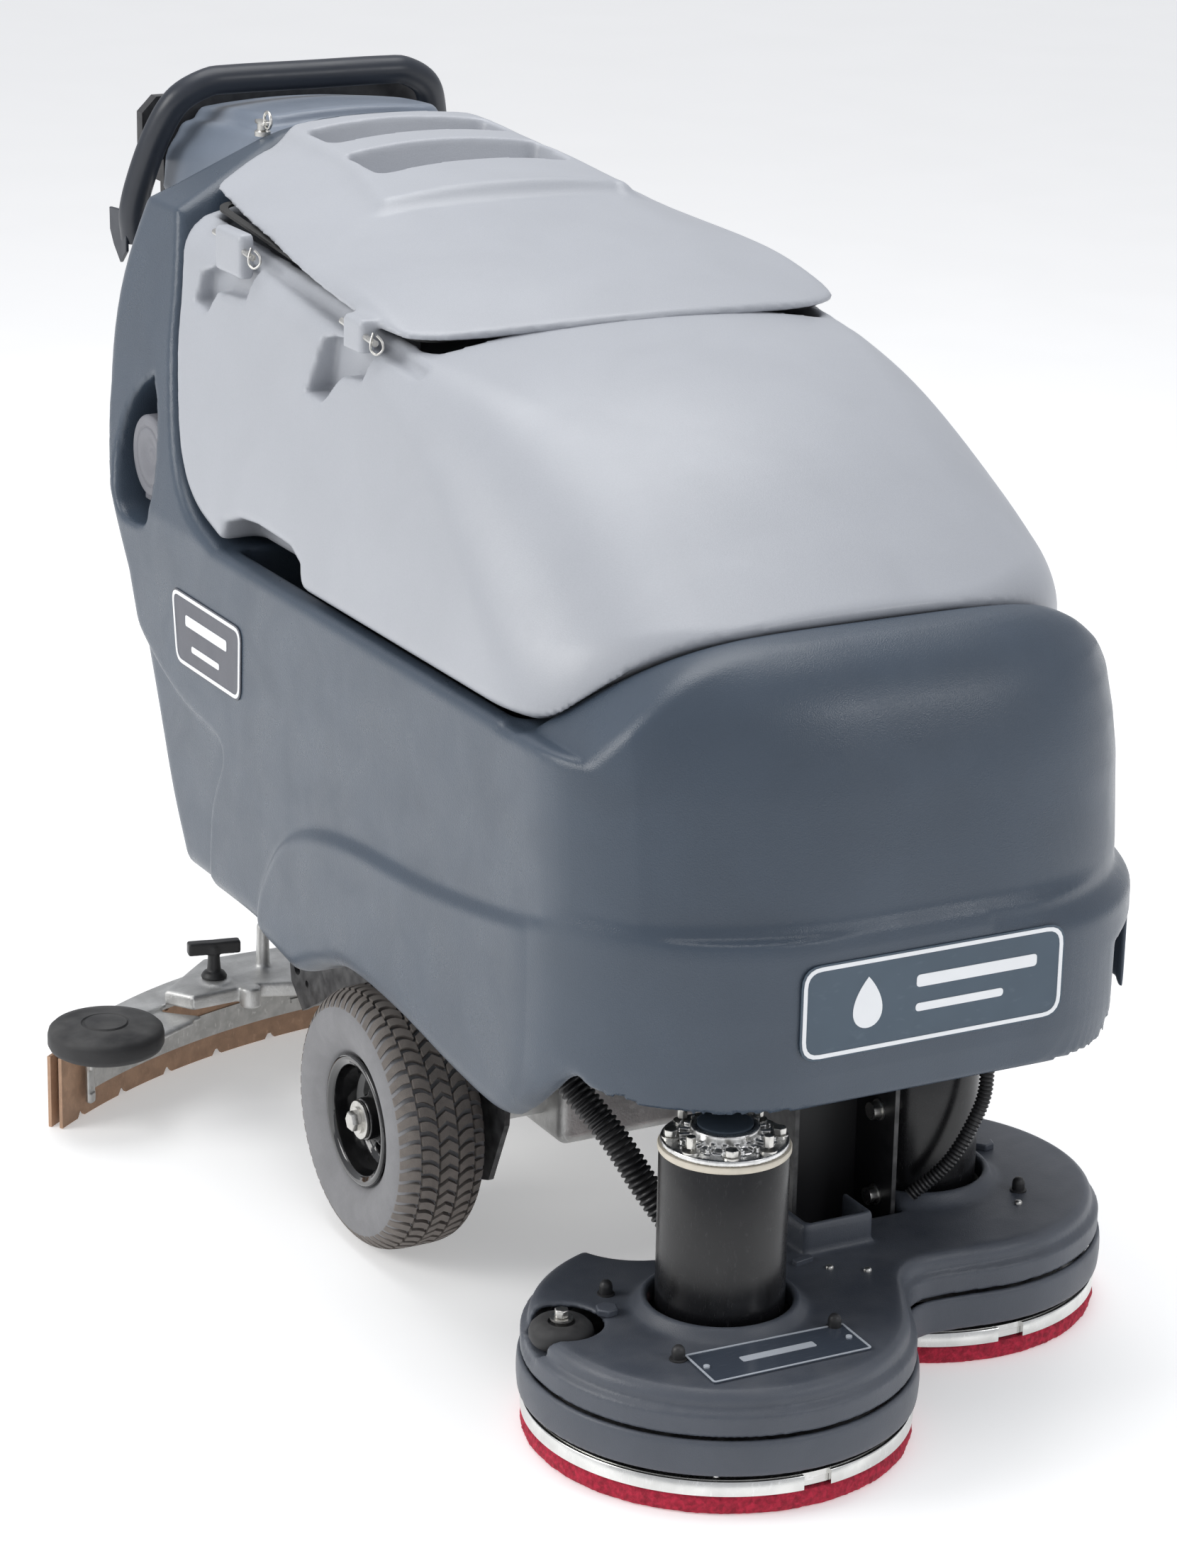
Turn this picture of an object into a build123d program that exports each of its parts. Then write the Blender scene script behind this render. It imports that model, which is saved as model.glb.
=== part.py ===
from build123d import *
import os
from math import atan2, cos, degrees, radians, sin

os.makedirs("parts", exist_ok=True)

# Walk-behind floor scrubber. All modelling is done in axle coordinates, in millimetres:
# +Z up, the machine drives towards -Y, X = 0 is the centre plane, and y = 0 is the drive axle.
# Every part is shifted along Y when it is written, so that the origin of the written parts is
# on the floor, under the middle of the machine's overall box.

# ---------------------------------------------------------------- driving dimensions
wheel_r = 139.7                 # 11 x 4.00-4 tyre, outside radius
tyre_w = 102.0
wheel_x = 264.0                 # centre plane of each drive wheel
rim_r = 62.5
axle_r = 12.7
running = 0.05                  # radial running clearance of every turning fit

disc_l = (-165.4, -512.0)       # left scrub disc, set forward
disc_r = (165.4, -332.0)        # right scrub disc, set back
pad_r = 187.0
pad_t = 20.0
skirt_r = 190.0
skirt_z = (40.0, 77.0)
deck_top = 122.0
motor_r = 61.7
motor_hole_r = 68.0
motor_z = (72.0, 284.0)

side_x = 318.0                  # half width of the body at and below the tank seam
side_taper = 0.19               # the sides lean in by this much per unit of height above the seam
seam_z = 667.0
crown_mid_z = 771.0             # front seam height on the centre plane
crown_half = 294.0              # where the arched front seam comes down to the level seam
crown_power = 4.5
body_front_y = -599.0
body_corner_r = 215.0           # front corners of the body, seen from above
tank_front_y = -482.0           # front edge of the recovery tank
tank_corner_r = 200.0
lid_z0 = 947.0                  # lid parting plane at y = 0
lid_slope = 0.102
gap = 3.0                       # gap between the two tanks

blade_arc_r = 753.0             # squeegee arc, seen from above
blade_arc_y = -178.0
blade_half_angle = 38.4

swing_pos = (0.0, 470.0)        # the squeegee swings about this point of its arm
cast_top = 118.0                # top of the squeegee casting
knob_pos_xy = (254.0, 485.0)    # clamping knobs, mirrored
bumper_x = 421.0                # bumper wheels at the ends of the squeegee, mirrored
bumper_y = 396.0
bumper_r = 64.0
arm_pivot_y = 262.0             # cross pin of the squeegee arm
arm_pivot_z = 225.0

plate_x = (194.0, 200.0)        # chassis side plates, inner and outer face
caster_x = 120.0                # rear casters, mirrored
caster_y = 325.0
caster_trail = 34.0
caster_r = 50.0
roller_pos = (-315.0, -476.0)   # corner roller of the deck
roller_r = 31.0
plate_mid = (-167.0, -628.0)    # nameplate on the deck

filler_y = 552.0                # filler neck of the solution tank
filler_z = 716.0
hinge_x = -267.0                # lid hinge line
hinge_ys = (102.0, 405.0)
hinge_r = 4.0

console_y = 850.0               # front and back of the console panel
panel_y1 = console_y + 16.0
knob_pos = (95.0, 1022.0)       # controls, (x, z)
key_pos = (-120.0, 1022.0)
button_xs = (-60.0, -20.0)
button_z = 1008.0
paddle_y = 884.0
paddle_z = 968.0
handle_tube_r = 16.5
handle_top_z = 1084.0
front_y = disc_l[1] - skirt_r   # foremost point of the machine
rear_y = 896.0                  # rearmost point: the handle's end plates
origin_y = (front_y + rear_y) / 2


# ---------------------------------------------------------------- helpers
def write(name, *shapes):
    """Write one node, moved to the frame of the written parts."""
    solids = [solid for shape in shapes for solid in shape.solids()]
    body = solids[0] if len(solids) == 1 else Compound(solids)
    export_step(Pos(0, -origin_y, 0) * body, f"parts/{name}.step")


def block(x0, x1, y0, y1, z0, z1):
    middle = Pos((x0 + x1) / 2, (y0 + y1) / 2, (z0 + z1) / 2)
    return middle * Box(x1 - x0, y1 - y0, z1 - z0)


def rod_x(y, z, r, x0, x1):
    return Pos((x0 + x1) / 2, y, z) * Rot(0, 90, 0) * Cylinder(r, x1 - x0)


def rod_y(x, z, r, y0, y1):
    return Pos(x, (y0 + y1) / 2, z) * Rot(90, 0, 0) * Cylinder(r, y1 - y0)


def rod_z(x, y, r, z0, z1):
    return Pos(x, y, (z0 + z1) / 2) * Cylinder(r, z1 - z0)


def tube_z(x, y, r_out, r_in, z0, z1):
    return rod_z(x, y, r_out, z0, z1) - rod_z(x, y, r_in, z0, z1)


def side_slab(edges, x0, x1):
    """Extrude a closed outline drawn in (y, z) from x0 to x1."""
    face = Plane.YZ * make_face(edges)
    return Pos(x0, 0, 0) * extrude(face, amount=x1 - x0)


def front_slab(edges, y0, y1):
    """Extrude a closed outline drawn in (x, z) from y0 to y1."""
    face = Plane.XZ * make_face(edges)
    return Pos(0, y1, 0) * extrude(face, amount=y1 - y0)


def plan_slab(face, z0, z1):
    return Pos(0, 0, z0) * extrude(face, amount=z1 - z0)


def polygon(*points):
    return Polyline(*points, close=True)


def turned_x(*points):
    """Turn a closed (axial, radial) outline about the X axis."""
    return revolve(make_face(polygon(*points)), axis=Axis.X)


def turned_z(*points):
    """Turn a closed (radial, axial) outline about the Z axis."""
    return revolve(Plane.XZ * make_face(polygon(*points)), axis=Axis.Z)


def tube_along(path, r_out):
    start = path.location_at(0)
    return sweep(Plane(start) * Circle(r_out), path=path)


def mirrored(shape):
    return mirror(shape, about=Plane.YZ)


def hex_bolt(x, y, z, across, height):
    return Pos(x, y, z + height / 2) * extrude(RegularPolygon(across / 2, 6), amount=height / 2, both=True)


# ---------------------------------------------------------------- body outlines
def arch(shoulder, inset=0.0):
    """Front view of the upper machine: leaning sides and a crowned top, as a solid along Y."""
    top_half, step_z, top_z = shoulder
    lean_z = 985.0
    low = (side_x - inset, 0)
    waist = (side_x - inset, seam_z)
    side_top = (side_x - inset - side_taper * (lean_z - seam_z), lean_z)
    corner = (top_half, step_z)
    edges = Polyline(low, waist, side_top, corner)
    edges += ThreePointArc(corner, (0, top_z), (-top_half, step_z))
    edges += Polyline((-top_half, step_z), (-side_top[0], side_top[1]), (-waist[0], waist[1]),
                      (-low[0], 0), low)
    return front_slab(edges, -650, 720)


def plan_outline(y0, r):
    """Top view with large front corners of radius r, as a solid along Z."""
    y1 = 760.0
    face = Pos(0, (y0 + y1) / 2) * Rectangle(2 * side_x, y1 - y0)
    corners = face.vertices().group_by(Axis.Y)[0]
    return plan_slab(fillet(corners, r), 200, 1150)


def hoop_front(offset=0.0):
    """Curve of the face between the rear hoop and the tanks, from the seam to the crest."""
    points = [(331, seam_z), (411, 692), (465, 740), (525, 835), (547, 909), (562, 1000), (594, 1045)]
    return Spline(*[(y - offset, z) for y, z in points])


def front_nose():
    """Curve of the body's front, from the top seam down to the bumper ledge."""
    return Spline((-480, crown_mid_z), (-535, 746), (-566, 700), (-579, 640), (-588, 523))


def crown_arc(rise=0.0):
    """The front seam: nearly level in the middle, falling to the level seam at the sides."""
    count = 10
    xs = [crown_half * (i / count - 1) for i in range(2 * count + 1)]
    drop = crown_mid_z - seam_z
    return Spline(*[(x, crown_mid_z + rise - drop * abs(x / crown_half) ** crown_power) for x in xs])


def above_crown():
    """Everything over the arched front seam."""
    edges = crown_arc() + Polyline((crown_half, seam_z), (side_x + 10, seam_z), (side_x + 10, 900),
                                   (-side_x - 10, 900), (-side_x - 10, seam_z), (-crown_half, seam_z))
    return front_slab(edges, -650, -340)


def under_crown(rise):
    """The blue crown at the front, grown by the gap, to be cut from the recovery tank."""
    level = seam_z + rise
    edges = crown_arc(rise) + Polyline((crown_half, level), (side_x + 10, level), (side_x + 10, 600),
                                       (-side_x - 10, 600), (-side_x - 10, level), (-crown_half, level))
    slope = polygon((-357 + rise, 600), (-357 + rise, seam_z + rise), (-480 + rise, crown_mid_z + rise),
                    (-650, crown_mid_z + rise), (-650, 600))
    return front_slab(edges, -650, -340) & side_slab(slope, -340, 340)


def body_side():
    """Side outline of the solution tank with the hoop behind the recovery tank."""
    belly = Spline((-390, 298), (-346, 284), (-255, 286), (-129, 300), (-20, 304), (35, 284), (91, 260),
                   (172, 267), (256, 279), (421, 275))
    back = Spline((421, 275), (459, 349), (497, 445), (544, 554), (578, 635), (622, 705), (660, 775),
                  (680, 860), (668, 925), (645, 985), (614, 1062))
    edges = belly + back + Polyline((614, 1062), (608, 1071), (597, 1071), (594, 1064), (594, 1045))
    edges += hoop_front()
    edges += Polyline((331, seam_z), (-357, seam_z), (-480, crown_mid_z))
    edges += front_nose()
    edges += Polyline((-588, 523), (-598, 512), (-599, 400), (-585, 350), (-510, 345), (-480, 368),
                      (-390, 298))
    return edges


def solution_outer():
    solid = arch((128, 1050, 1071)) & plan_outline(body_front_y, body_corner_r)
    solid &= side_slab(body_side(), -side_x - 5, side_x + 5)
    return solid - above_crown()


def recovery_side():
    edges = Polyline((331 - 6, seam_z + gap), (-575, seam_z + gap), (-575, 690))
    edges += Spline((-575, 690), (-535, 744), (-482, 770))
    edges += Spline((-482, 770), (-398, 826), (-293, 888), (-158, 938), (-8, 962))
    edges += Polyline((-8, 962), (-8, 944), (551, 944 + 559 * lid_slope))
    edges += Spline((551, 944 + 559 * lid_slope), (541, 909), (519, 835), (459, 740), (405, 692),
                    (331 - 6, seam_z + gap))
    return edges


# ---------------------------------------------------------------- blue body
def solution_tank(outer):
    tub = block(-298, 298, -235, 330, 305, 700)
    front_well = block(-262, 262, -400, -234, 460, 668)
    deck_bay = block(-300, 300, -578, -252, 200, 442)
    corner_cut = Pos(0, 8, 0) * plan_outline(body_front_y, body_corner_r)
    corner_cut &= block(-300, 300, -700, 800, 200, 442)
    frame_bay = block(-206, 206, -260, 430, 200, 290)
    tower_side = polygon((512, 700), (592, 700), (640, 800), (640, 920), (610, 985), (560, 985), (548, 900))
    tower = side_slab(tower_side, -190, 190)
    pocket = side_slab(polygon((500, 655), (598, 655), (632, 765), (570, 812), (508, 800)), -330, -236)
    solid = outer - tub - front_well - (deck_bay & corner_cut) - frame_bay - tower - pocket
    neck = rod_x(filler_y, filler_z, 34, -262, -230) - rod_x(filler_y, filler_z, 26, -262, -235.9)
    return solid + neck


def filler_cap():
    shell = rod_x(filler_y, filler_z, 46, -298, -262) + rod_x(filler_y, filler_z, 42, -262, -246)
    bore = rod_x(filler_y, filler_z, 34 + running, -262, -240)
    grip = block(-304, -298, filler_y - 40, filler_y + 40, filler_z - 7, filler_z + 7)
    return shell - bore + grip


# ---------------------------------------------------------------- recovery tank and lid
def hinge_z(y):
    return lid_z0 - 1 + lid_slope * y


def recovery_tank():
    outer = arch((125, 1040, 1046)) & plan_outline(tank_front_y, tank_corner_r)
    outer &= side_slab(recovery_side(), -side_x, side_x)
    outer -= under_crown(gap)
    cavity_side = polygon((300, 690), (-330, 690), (-455, 785), (-300, 865), (-150, 918), (-20, 940),
                          (-20, 990), (535, 1040), (524, 905), (500, 830), (440, 745))
    cavity = side_slab(cavity_side, -238, 238)
    notch_side = polygon((117, 660), (133, 700), (160, 713), (286, 712), (323, 698), (330, 660))
    notch = side_slab(notch_side, -330, -262)
    solid = outer - cavity - notch
    for y in hinge_ys:
        solid -= block(-290, -244, y - 22, y + 22, hinge_z(y) - 24, hinge_z(y) + 30)
        for side in (-17, 12):
            ear = block(-273, -243, y + side, y + side + 5, hinge_z(y) - 25, hinge_z(y) - 1)
            solid += ear - hinge_rod(hinge_r)
    return solid


def hinge_rod(r):
    """A long rod on the lid's hinge axis."""
    tilt = degrees(atan2(lid_slope, 1))
    return Pos(hinge_x, 250, hinge_z(250) - 6) * Rot(90 + tilt, 0, 0) * Cylinder(r, 700)


def lid():
    top = Spline((-6, 972), (120, 1003), (290, 1030), (440, 1040), (586, 1044))
    edges = Polyline((-6, 948), (-6, 972)) + top
    edges += Polyline((586, 1044), (556, lid_z0 + 1 + 556 * lid_slope), (-6, 948))
    shell = side_slab(edges, -side_x, side_x) & arch((125, 1038, 1046))
    hollow = polygon((40, 940), (40, 968), (130, 990), (300, 1012), (535, 1020), (535, 990))
    inside = side_slab(hollow, -235, 235) & arch((108, 1016, 1022), 12)
    shell -= inside
    frame = side_slab(polygon((285, 1010), (300, 1040), (588, 1062), (588, 1046), (560, 1010)), -122, 122)
    frame &= plan_slab(Pos(0, 438) * RectangleRounded(246, 302, 22), 1000, 1080)
    shell += frame - inside
    for y0, y1, half in ((361, 447, 115), (497, 552, 107)):
        shell -= block(-half, half, y0, y1, 1026, 1080)
    for y in hinge_ys:
        ear = block(-275, -258, y - 9, y + 9, hinge_z(y) - 15, hinge_z(y) + 14)
        ear += block(-260, -238, y - 9, y + 9, hinge_z(y) + 4, hinge_z(y) + 14)
        shell += ear - hinge_rod(hinge_r + running)
    return shell


def hinge_pins():
    pins = [hinge_rod(hinge_r) & block(-290, -240, y - 19, y + 19, 900, 1010) for y in hinge_ys]
    return pins


def lid_gasket():
    loop = Pos(0, 262) * (RectangleRounded(476, 500, 30) - RectangleRounded(458, 482, 21))
    sheet = side_slab(polygon((-8, 944.5 - 8 * lid_slope), (551, 944.5 + 551 * lid_slope),
                              (551, 947.5 + 551 * lid_slope), (-8, 947.5 - 8 * lid_slope)), -300, 300)
    return plan_slab(loop, 900, 1050) & sheet


def debris_basket():
    outer = block(-90, 90, 300, 440, 860, 940)
    return outer - block(-86, 86, 304, 436, 864, 941)


def float_shutoff():
    cage = tube_z(0, 220, 34, 30, 800, 900)
    ball = Pos(0, 220, 835) * Sphere(26)
    return cage, ball


# ---------------------------------------------------------------- console and handle
def cowl(outer):
    side = polygon((585, 1068), (700, 1070), (800, 1064), (console_y, 1050), (console_y, 948), (640, 948))
    front = polygon((-152, 940), (-150, 985), (-118, 1052), (-98, 1072), (98, 1072), (118, 1052),
                    (150, 985), (152, 940))
    solid = side_slab(side, -200, 200) & front_slab(front, 560, 860)
    inside = side_slab(polygon((655, 958), (700, 1056), (800, 1052), (844, 1040), (844, 958)), -135, 135)
    inside &= front_slab(polygon((-140, 955), (-92, 1058), (92, 1058), (140, 955)), 560, 860)
    slack = solid - outer - block(-400, 400, 500, 612, 900, 1100)
    return slack - inside


def console_panel():
    front = polygon((-178, 985), (-178, 1040), (-160, 1058), (160, 1058), (178, 1040), (178, 985))
    plate = front_slab(front, console_y, panel_y1)
    plate -= rod_y(knob_pos[0], knob_pos[1], 5 + running, console_y - 1, panel_y1 + 1)
    plate -= rod_y(key_pos[0], key_pos[1], 8 + running, console_y + 4, panel_y1 + 1)
    for x in button_xs:
        plate -= rod_y(x, button_z, 11 + running, console_y + 4, panel_y1 + 1)
    plate -= block(-75, 45, panel_y1 - 3, panel_y1 + 1, 1024, 1052)
    lugs = [block(x, x + 8, console_y, paddle_y + 8, paddle_z - 10, paddle_z + 24) for x in (-152, 144)]
    for lug in lugs:
        plate += lug - rod_x(paddle_y, paddle_z, 5 + running, -160, 160)
    return plate


def speed_knob():
    x, z = knob_pos
    knob = rod_y(x, z, 5, console_y + 2, panel_y1 + 1) + rod_y(x, z, 19, panel_y1 + 1, panel_y1 + 17)
    return knob + block(x - 1.5, x + 1.5, panel_y1 + 17, panel_y1 + 18, z + 3, z + 18)


def key_switch():
    x, z = key_pos
    barrel = rod_y(x, z, 8, console_y + 4.5, panel_y1 + 3)
    return barrel + block(x - 1.5, x + 1.5, panel_y1 + 3, panel_y1 + 24, z - 10, z + 10)


def button(x):
    return rod_y(x, button_z, 11, console_y + 8, panel_y1 + 4)


def drive_paddle():
    bar = block(-140, 140, paddle_y - 6, paddle_y + 6, paddle_z - 34, paddle_z + 8)
    return fillet(bar.edges().filter_by(Axis.X), 5) + rod_x(paddle_y, paddle_z, 5, -152, 152)


def cowl_latch():
    return block(-134.5, -120.5, 617, 631, 1056, 1084)


def handle_frame(outer):
    low = (-196, 852, 900)
    corner = (-160, 788, handle_top_z)
    far_corner = (-corner[0], corner[1], corner[2])
    far_low = (-low[0], low[1], low[2])
    path = FilletPolyline(low, corner, far_corner, far_low, radius=62)
    frame = tube_along(path, handle_tube_r)
    frame += rod_x(850, 916, 12, -194, 194)
    for side in (-1, 1):
        x0, x1 = sorted((side * 86, side * 80))
        strut = side_slab(polygon((640, 880), (640, 935), (850, 927), (850, 904)), x0, x1)
        frame += strut - outer
        x0, x1 = sorted((side * 203, side * 197))
        end_plate = polygon((846, 926), (rear_y, 926), (rear_y, 900), (864, 866), (846, 882))
        frame += side_slab(end_plate, x0, x1)
    return frame


# ---------------------------------------------------------------- wheels and drive
def tyre():
    half = tyre_w / 2
    edges = Polyline((-36, rim_r), (-40, rim_r + 18))
    edges += Spline((-40, rim_r + 18), (-half, 108), (-46, 128), (-34, 136))
    edges += ThreePointArc((-34, 136), (0, wheel_r), (34, 136))
    edges += Spline((34, 136), (46, 128), (half, 108), (40, rim_r + 18))
    edges += Polyline((40, rim_r + 18), (36, rim_r), (-36, rim_r))
    return revolve(make_face(edges), axis=Axis.X)


def rim():
    """Rim and hub, turned as seen on the right-hand wheel with its outside towards +X."""
    return turned_x((-42, 56), (-42, rim_r + 6), (-38, rim_r + 6), (-38, rim_r), (38, rim_r),
                    (38, rim_r + 6), (42, rim_r + 6), (42, 56), (30, 52), (4, 50), (0, 40), (6, 26),
                    (34, 22), (34, axle_r), (-30, axle_r), (-30, 22), (-8, 30), (-8, 52), (-30, 56))


def wheel_nut():
    washer = rod_x(0, 0, 19, 37, 40) - rod_x(0, 0, axle_r, 36, 41)
    nut = rod_x(0, 0, 17, 34, 37) - rod_x(0, 0, axle_r, 33, 38)
    head = Pos(43, 0, 0) * Rot(0, 90, 0) * extrude(RegularPolygon(11, 6), amount=3, both=True)
    return washer + nut + head


def place_wheel(shape, side):
    turned = shape if side > 0 else mirrored(shape)
    return Pos(side * wheel_x, 0, wheel_r) * turned


def axle_shaft(side):
    x0, x1 = sorted((side * 60, side * (wheel_x + 39.9)))
    return rod_x(0, wheel_r, axle_r, x0, x1)


def transaxle():
    case = block(-95, 95, -58, 58, 92, 192)
    case = fillet(case.edges(), 12)
    solid = case + rod_x(0, wheel_r, 28, -194, 194)
    for side in (-1, 1):
        x0, x1 = sorted((side * 58, side * 195))
        solid -= rod_x(0, wheel_r, axle_r + running, x0, x1)
    return solid


def traction_motor():
    return rod_y(0, wheel_r, 48, 58, 215) + rod_y(0, wheel_r, 40, 215, 228)


def chassis_frame():
    outline = polygon((-142, 290), (-132, 165), (-98, 92), (-58, 78), (-15, 98), (60, 100), (140, 170),
                      (230, 190), (330, 132), (362, 114), (392, 140), (403, 200), (403, 290))
    frame = side_slab(outline, plate_x[0], plate_x[1]) + side_slab(outline, -plate_x[1], -plate_x[0])
    frame -= rod_x(0, wheel_r, 15, -210, 210)
    for y, z, r in ((376, 160, 8), (350, 150, 4), (300, 200, 10), (-40, 230, 6)):
        frame -= rod_x(y, z, r, -210, 210)
    frame += block(-194, 194, -140, -100, 240, 290)
    frame += block(-194, 194, 300, 360, 150, 156)
    frame += block(-194, 194, 240, 290, 262, 290)
    frame += block(-8, 82, -322, -262, 180, 330) - block(-2, 76, -316, -268, 170, 340)
    frame += block(4, 70, -262, -140, 240, 289)
    for x in (-44, 38):
        frame += block(x, x + 6, arm_pivot_y - 18, arm_pivot_y + 18, arm_pivot_z - 14, 262)
    return frame - rod_x(arm_pivot_y, arm_pivot_z, 8 + running, -60, 60)


# ---------------------------------------------------------------- rear casters
def caster_mount(x):
    plate = block(x - 42, x + 42, caster_y - 34, caster_y + 34, 144, 150)
    return plate + rod_z(x, caster_y, 10, 112, 144)


def caster_fork(x):
    crown = block(x - 24, x + 24, caster_y - 22, caster_y + caster_trail + 8, 114, 122)
    crown += rod_z(x, caster_y, 24, 122, 134)
    for side in (-24, 20):
        leg = side_slab(polygon((caster_y - 8, 118), (caster_y + caster_trail + 8, 118),
                                (caster_y + caster_trail + 14, 40), (caster_y + caster_trail - 14, 40)),
                        x + side, x + side + 4)
        crown += leg
    crown -= rod_z(x, caster_y, 10 + running, 110, 140)
    return crown + rod_x(caster_y + caster_trail, caster_r, 6, x - 22, x + 22)


def caster_wheel(x):
    y = caster_y + caster_trail
    wheel = rod_x(y, caster_r, caster_r, x - 16, x + 16)
    wheel = fillet(wheel.edges().filter_by(GeomType.CIRCLE), 5)
    return wheel - rod_x(y, caster_r, 6 + running, x - 17, x + 17)


# ---------------------------------------------------------------- scrub deck
def offset_2d(face, amount):
    return offset(face, amount=amount, kind=Kind.ARC)


def lobes(offset=0.0):
    """Outline of the two-lobed deck seen from above."""
    along = degrees(atan2(disc_r[1] - disc_l[1], disc_r[0] - disc_l[0]))
    mid = ((disc_l[0] + disc_r[0]) / 2, (disc_l[1] + disc_r[1]) / 2)
    face = Pos(*disc_l) * Circle(skirt_r) + Pos(*disc_r) * Circle(skirt_r)
    face += Pos(*mid) * Rot(0, 0, along) * Rectangle(300, 190)
    face = offset_2d(offset_2d(face, 55), -55)
    face -= Pos(-150, -318) * Circle(62)
    return offset_2d(face, offset) if offset else face


def deck_cover():
    solid = plan_slab(lobes(-2), skirt_z[1] + 1, 104) + plan_slab(lobes(-10), 104, deck_top)
    solid = solid - plan_slab(lobes(-16), 60, deck_top - 6)
    for x, y in (disc_l, disc_r):
        solid += rod_z(x, y, 80, deck_top - 6, deck_top + 12)
        solid -= rod_z(x, y, motor_hole_r, 60, deck_top + 20)
    solid += block(-38, 42, -453, -402, deck_top, 155) - block(-32, 36, -447, -401, deck_top, 156)
    solid -= rod_z(*roller_pos, roller_r + 4, 90, deck_top + 10)
    solid -= rod_z(37, -290, 26, 100, deck_top + 10)
    return solid - block(-26, 107, -402, -322, skirt_z[1], deck_top + 20)


def deck_skirt():
    return plan_slab(lobes(0), *skirt_z) - plan_slab(lobes(-5), skirt_z[0] - 1, skirt_z[1] + 1)


def deck_plate():
    plate = plan_slab(lobes(-22), 62, 70)
    for x, y in (disc_l, disc_r):
        plate -= rod_z(x, y, 18, 60, 72)
    return plate


def motor_can(x, y):
    can = rod_z(x, y, motor_r, motor_z[0], motor_z[1]) + rod_z(x, y, 66, 70, motor_z[0])
    return can - rod_z(x, y, 12 + running, 69, 120)


def motor_ring(x, y):
    return rod_z(x, y, 63, motor_z[1], motor_z[1] + 6)


def motor_cap(x, y):
    z = motor_z[1] + 6
    cap = rod_z(x, y, 60, z, z + 8) + rod_z(x, y, 30, z + 8, z + 20)
    for i in range(12):
        angle = radians(30 * i + 15)
        cap += Pos(x + 36 * cos(angle), y + 36 * sin(angle), z + 11) * Box(5, 5, 6)
    return cap


def motor_bolts(x, y):
    z = motor_z[1] + 14
    bolts = []
    for i in range(8):
        angle = radians(45 * i + 22)
        bolts.append(hex_bolt(x + 50 * cos(angle), y + 50 * sin(angle), z, 14, 7))
    return bolts


def pad(x, y):
    return tube_z(x, y, pad_r, 40, 0, pad_t)


def pad_driver(x, y):
    disc = rod_z(x, y, pad_r - 4, pad_t + 8, pad_t + 15) + rod_z(x, y, 38, pad_t, pad_t + 8)
    return disc + rod_z(x, y, 34, pad_t + 15, 58) + rod_z(x, y, 12, 58, 118)


def pad_ring(x, y):
    band = tube_z(x, y, pad_r, pad_r - 4, pad_t, pad_t + 16)
    notch = block(x - 14, x + 14, y - pad_r - 5, y - pad_r + 10, pad_t + 7, pad_t + 17)
    return band - notch


def corner_roller():
    x, y = roller_pos
    wheel = turned_z((6 + running, 100), (24, 100), (30, 104), (roller_r, 109), (roller_r, 114), (28, 121),
                     (20, 124), (12, 124), (12, 120), (6 + running, 120))
    return Pos(x, y, 0) * wheel


def roller_bolt():
    x, y = roller_pos
    post = rod_z(x, y, 11, 70, 99.9) + rod_z(x, y, 6, 99.9, 122)
    return post + rod_z(x, y, 10.5, 121, 123.5) + hex_bolt(x, y, 123.5, 15, 9)


def deck_fasteners():
    parts = []
    for cx, cy in (disc_l, disc_r):
        for dx in (-80, 80):
            for dy in (-79, 79):
                x, y = cx + dx, cy + dy
                cap = rod_z(x, y, 6.5, deck_top, deck_top + 8) + Pos(x, y, deck_top + 8) * Sphere(6.5)
                parts.append(cap - block(x - 10, x + 10, y - 10, y + 10, deck_top - 10, deck_top))
    for x, y in ((-266, -480), (268, -306)):
        parts.append(hex_bolt(x, y, deck_top, 24, 7))
    for x, y in ((2, -507), (222, -438)):
        parts.append(rod_z(x, y, 4, deck_top, deck_top + 4))
    return parts


def nameplate():
    return plan_slab(Pos(*plate_mid) * RectangleRounded(167, 54, 3), deck_top, deck_top + 1.5)


def nameplate_rivets():
    return [rod_z(plate_mid[0] + dx, plate_mid[1], 2.5, deck_top + 1.5, deck_top + 3) for dx in (-78, 78)]


def lift_channel():
    flanges = block(-20, -15, -400, -326, 78, 330) + block(95, 100, -400, -326, 78, 330)
    return flanges + block(-20, 100, -330, -326, 78, 330) + block(-20, 98, -400, -326, 70, 78)


def channel_bolts():
    return [rod_x(y, z, 7, 91, 95) + rod_x(y, z, 7, 100, 105) for y, z in ((-372, 222), (-372, 130))]


def actuator_rod():
    lug = block(20, 54, -304, -276, 70, 140)
    return lug + rod_z(37, -290, 9, 140, 320)


def actuator_tube():
    return rod_z(37, -290, 20, 232, 402) - rod_z(37, -290, 9 + running, 230, 390)


def deck_hose():
    path = Spline((-250, -318, 272), (-205, -355, 215), (-158, -392, 164), (-146, -404, 130))
    return tube_along(path, 14)


def motor_conduit():
    path = Spline((196, -404, 282), (182, -416, 226), (146, -414, 168), (112, -404, 138))
    return tube_along(path, 10)


# ---------------------------------------------------------------- squeegee
def arc_band(r0, r1, z0, z1, a0, a1):
    """A band that follows the squeegee arc between two angles from the machine's centre plane."""
    def at(r, a):
        return (r * sin(radians(a)), blade_arc_y + r * cos(radians(a)))
    mid = (a0 + a1) / 2
    edges = ThreePointArc(at(r0, a0), at(r0, mid), at(r0, a1)) + Line(at(r0, a1), at(r1, a1))
    edges += ThreePointArc(at(r1, a1), at(r1, mid), at(r1, a0)) + Line(at(r1, a0), at(r0, a0))
    return plan_slab(make_face(edges), z0, z1)


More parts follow.
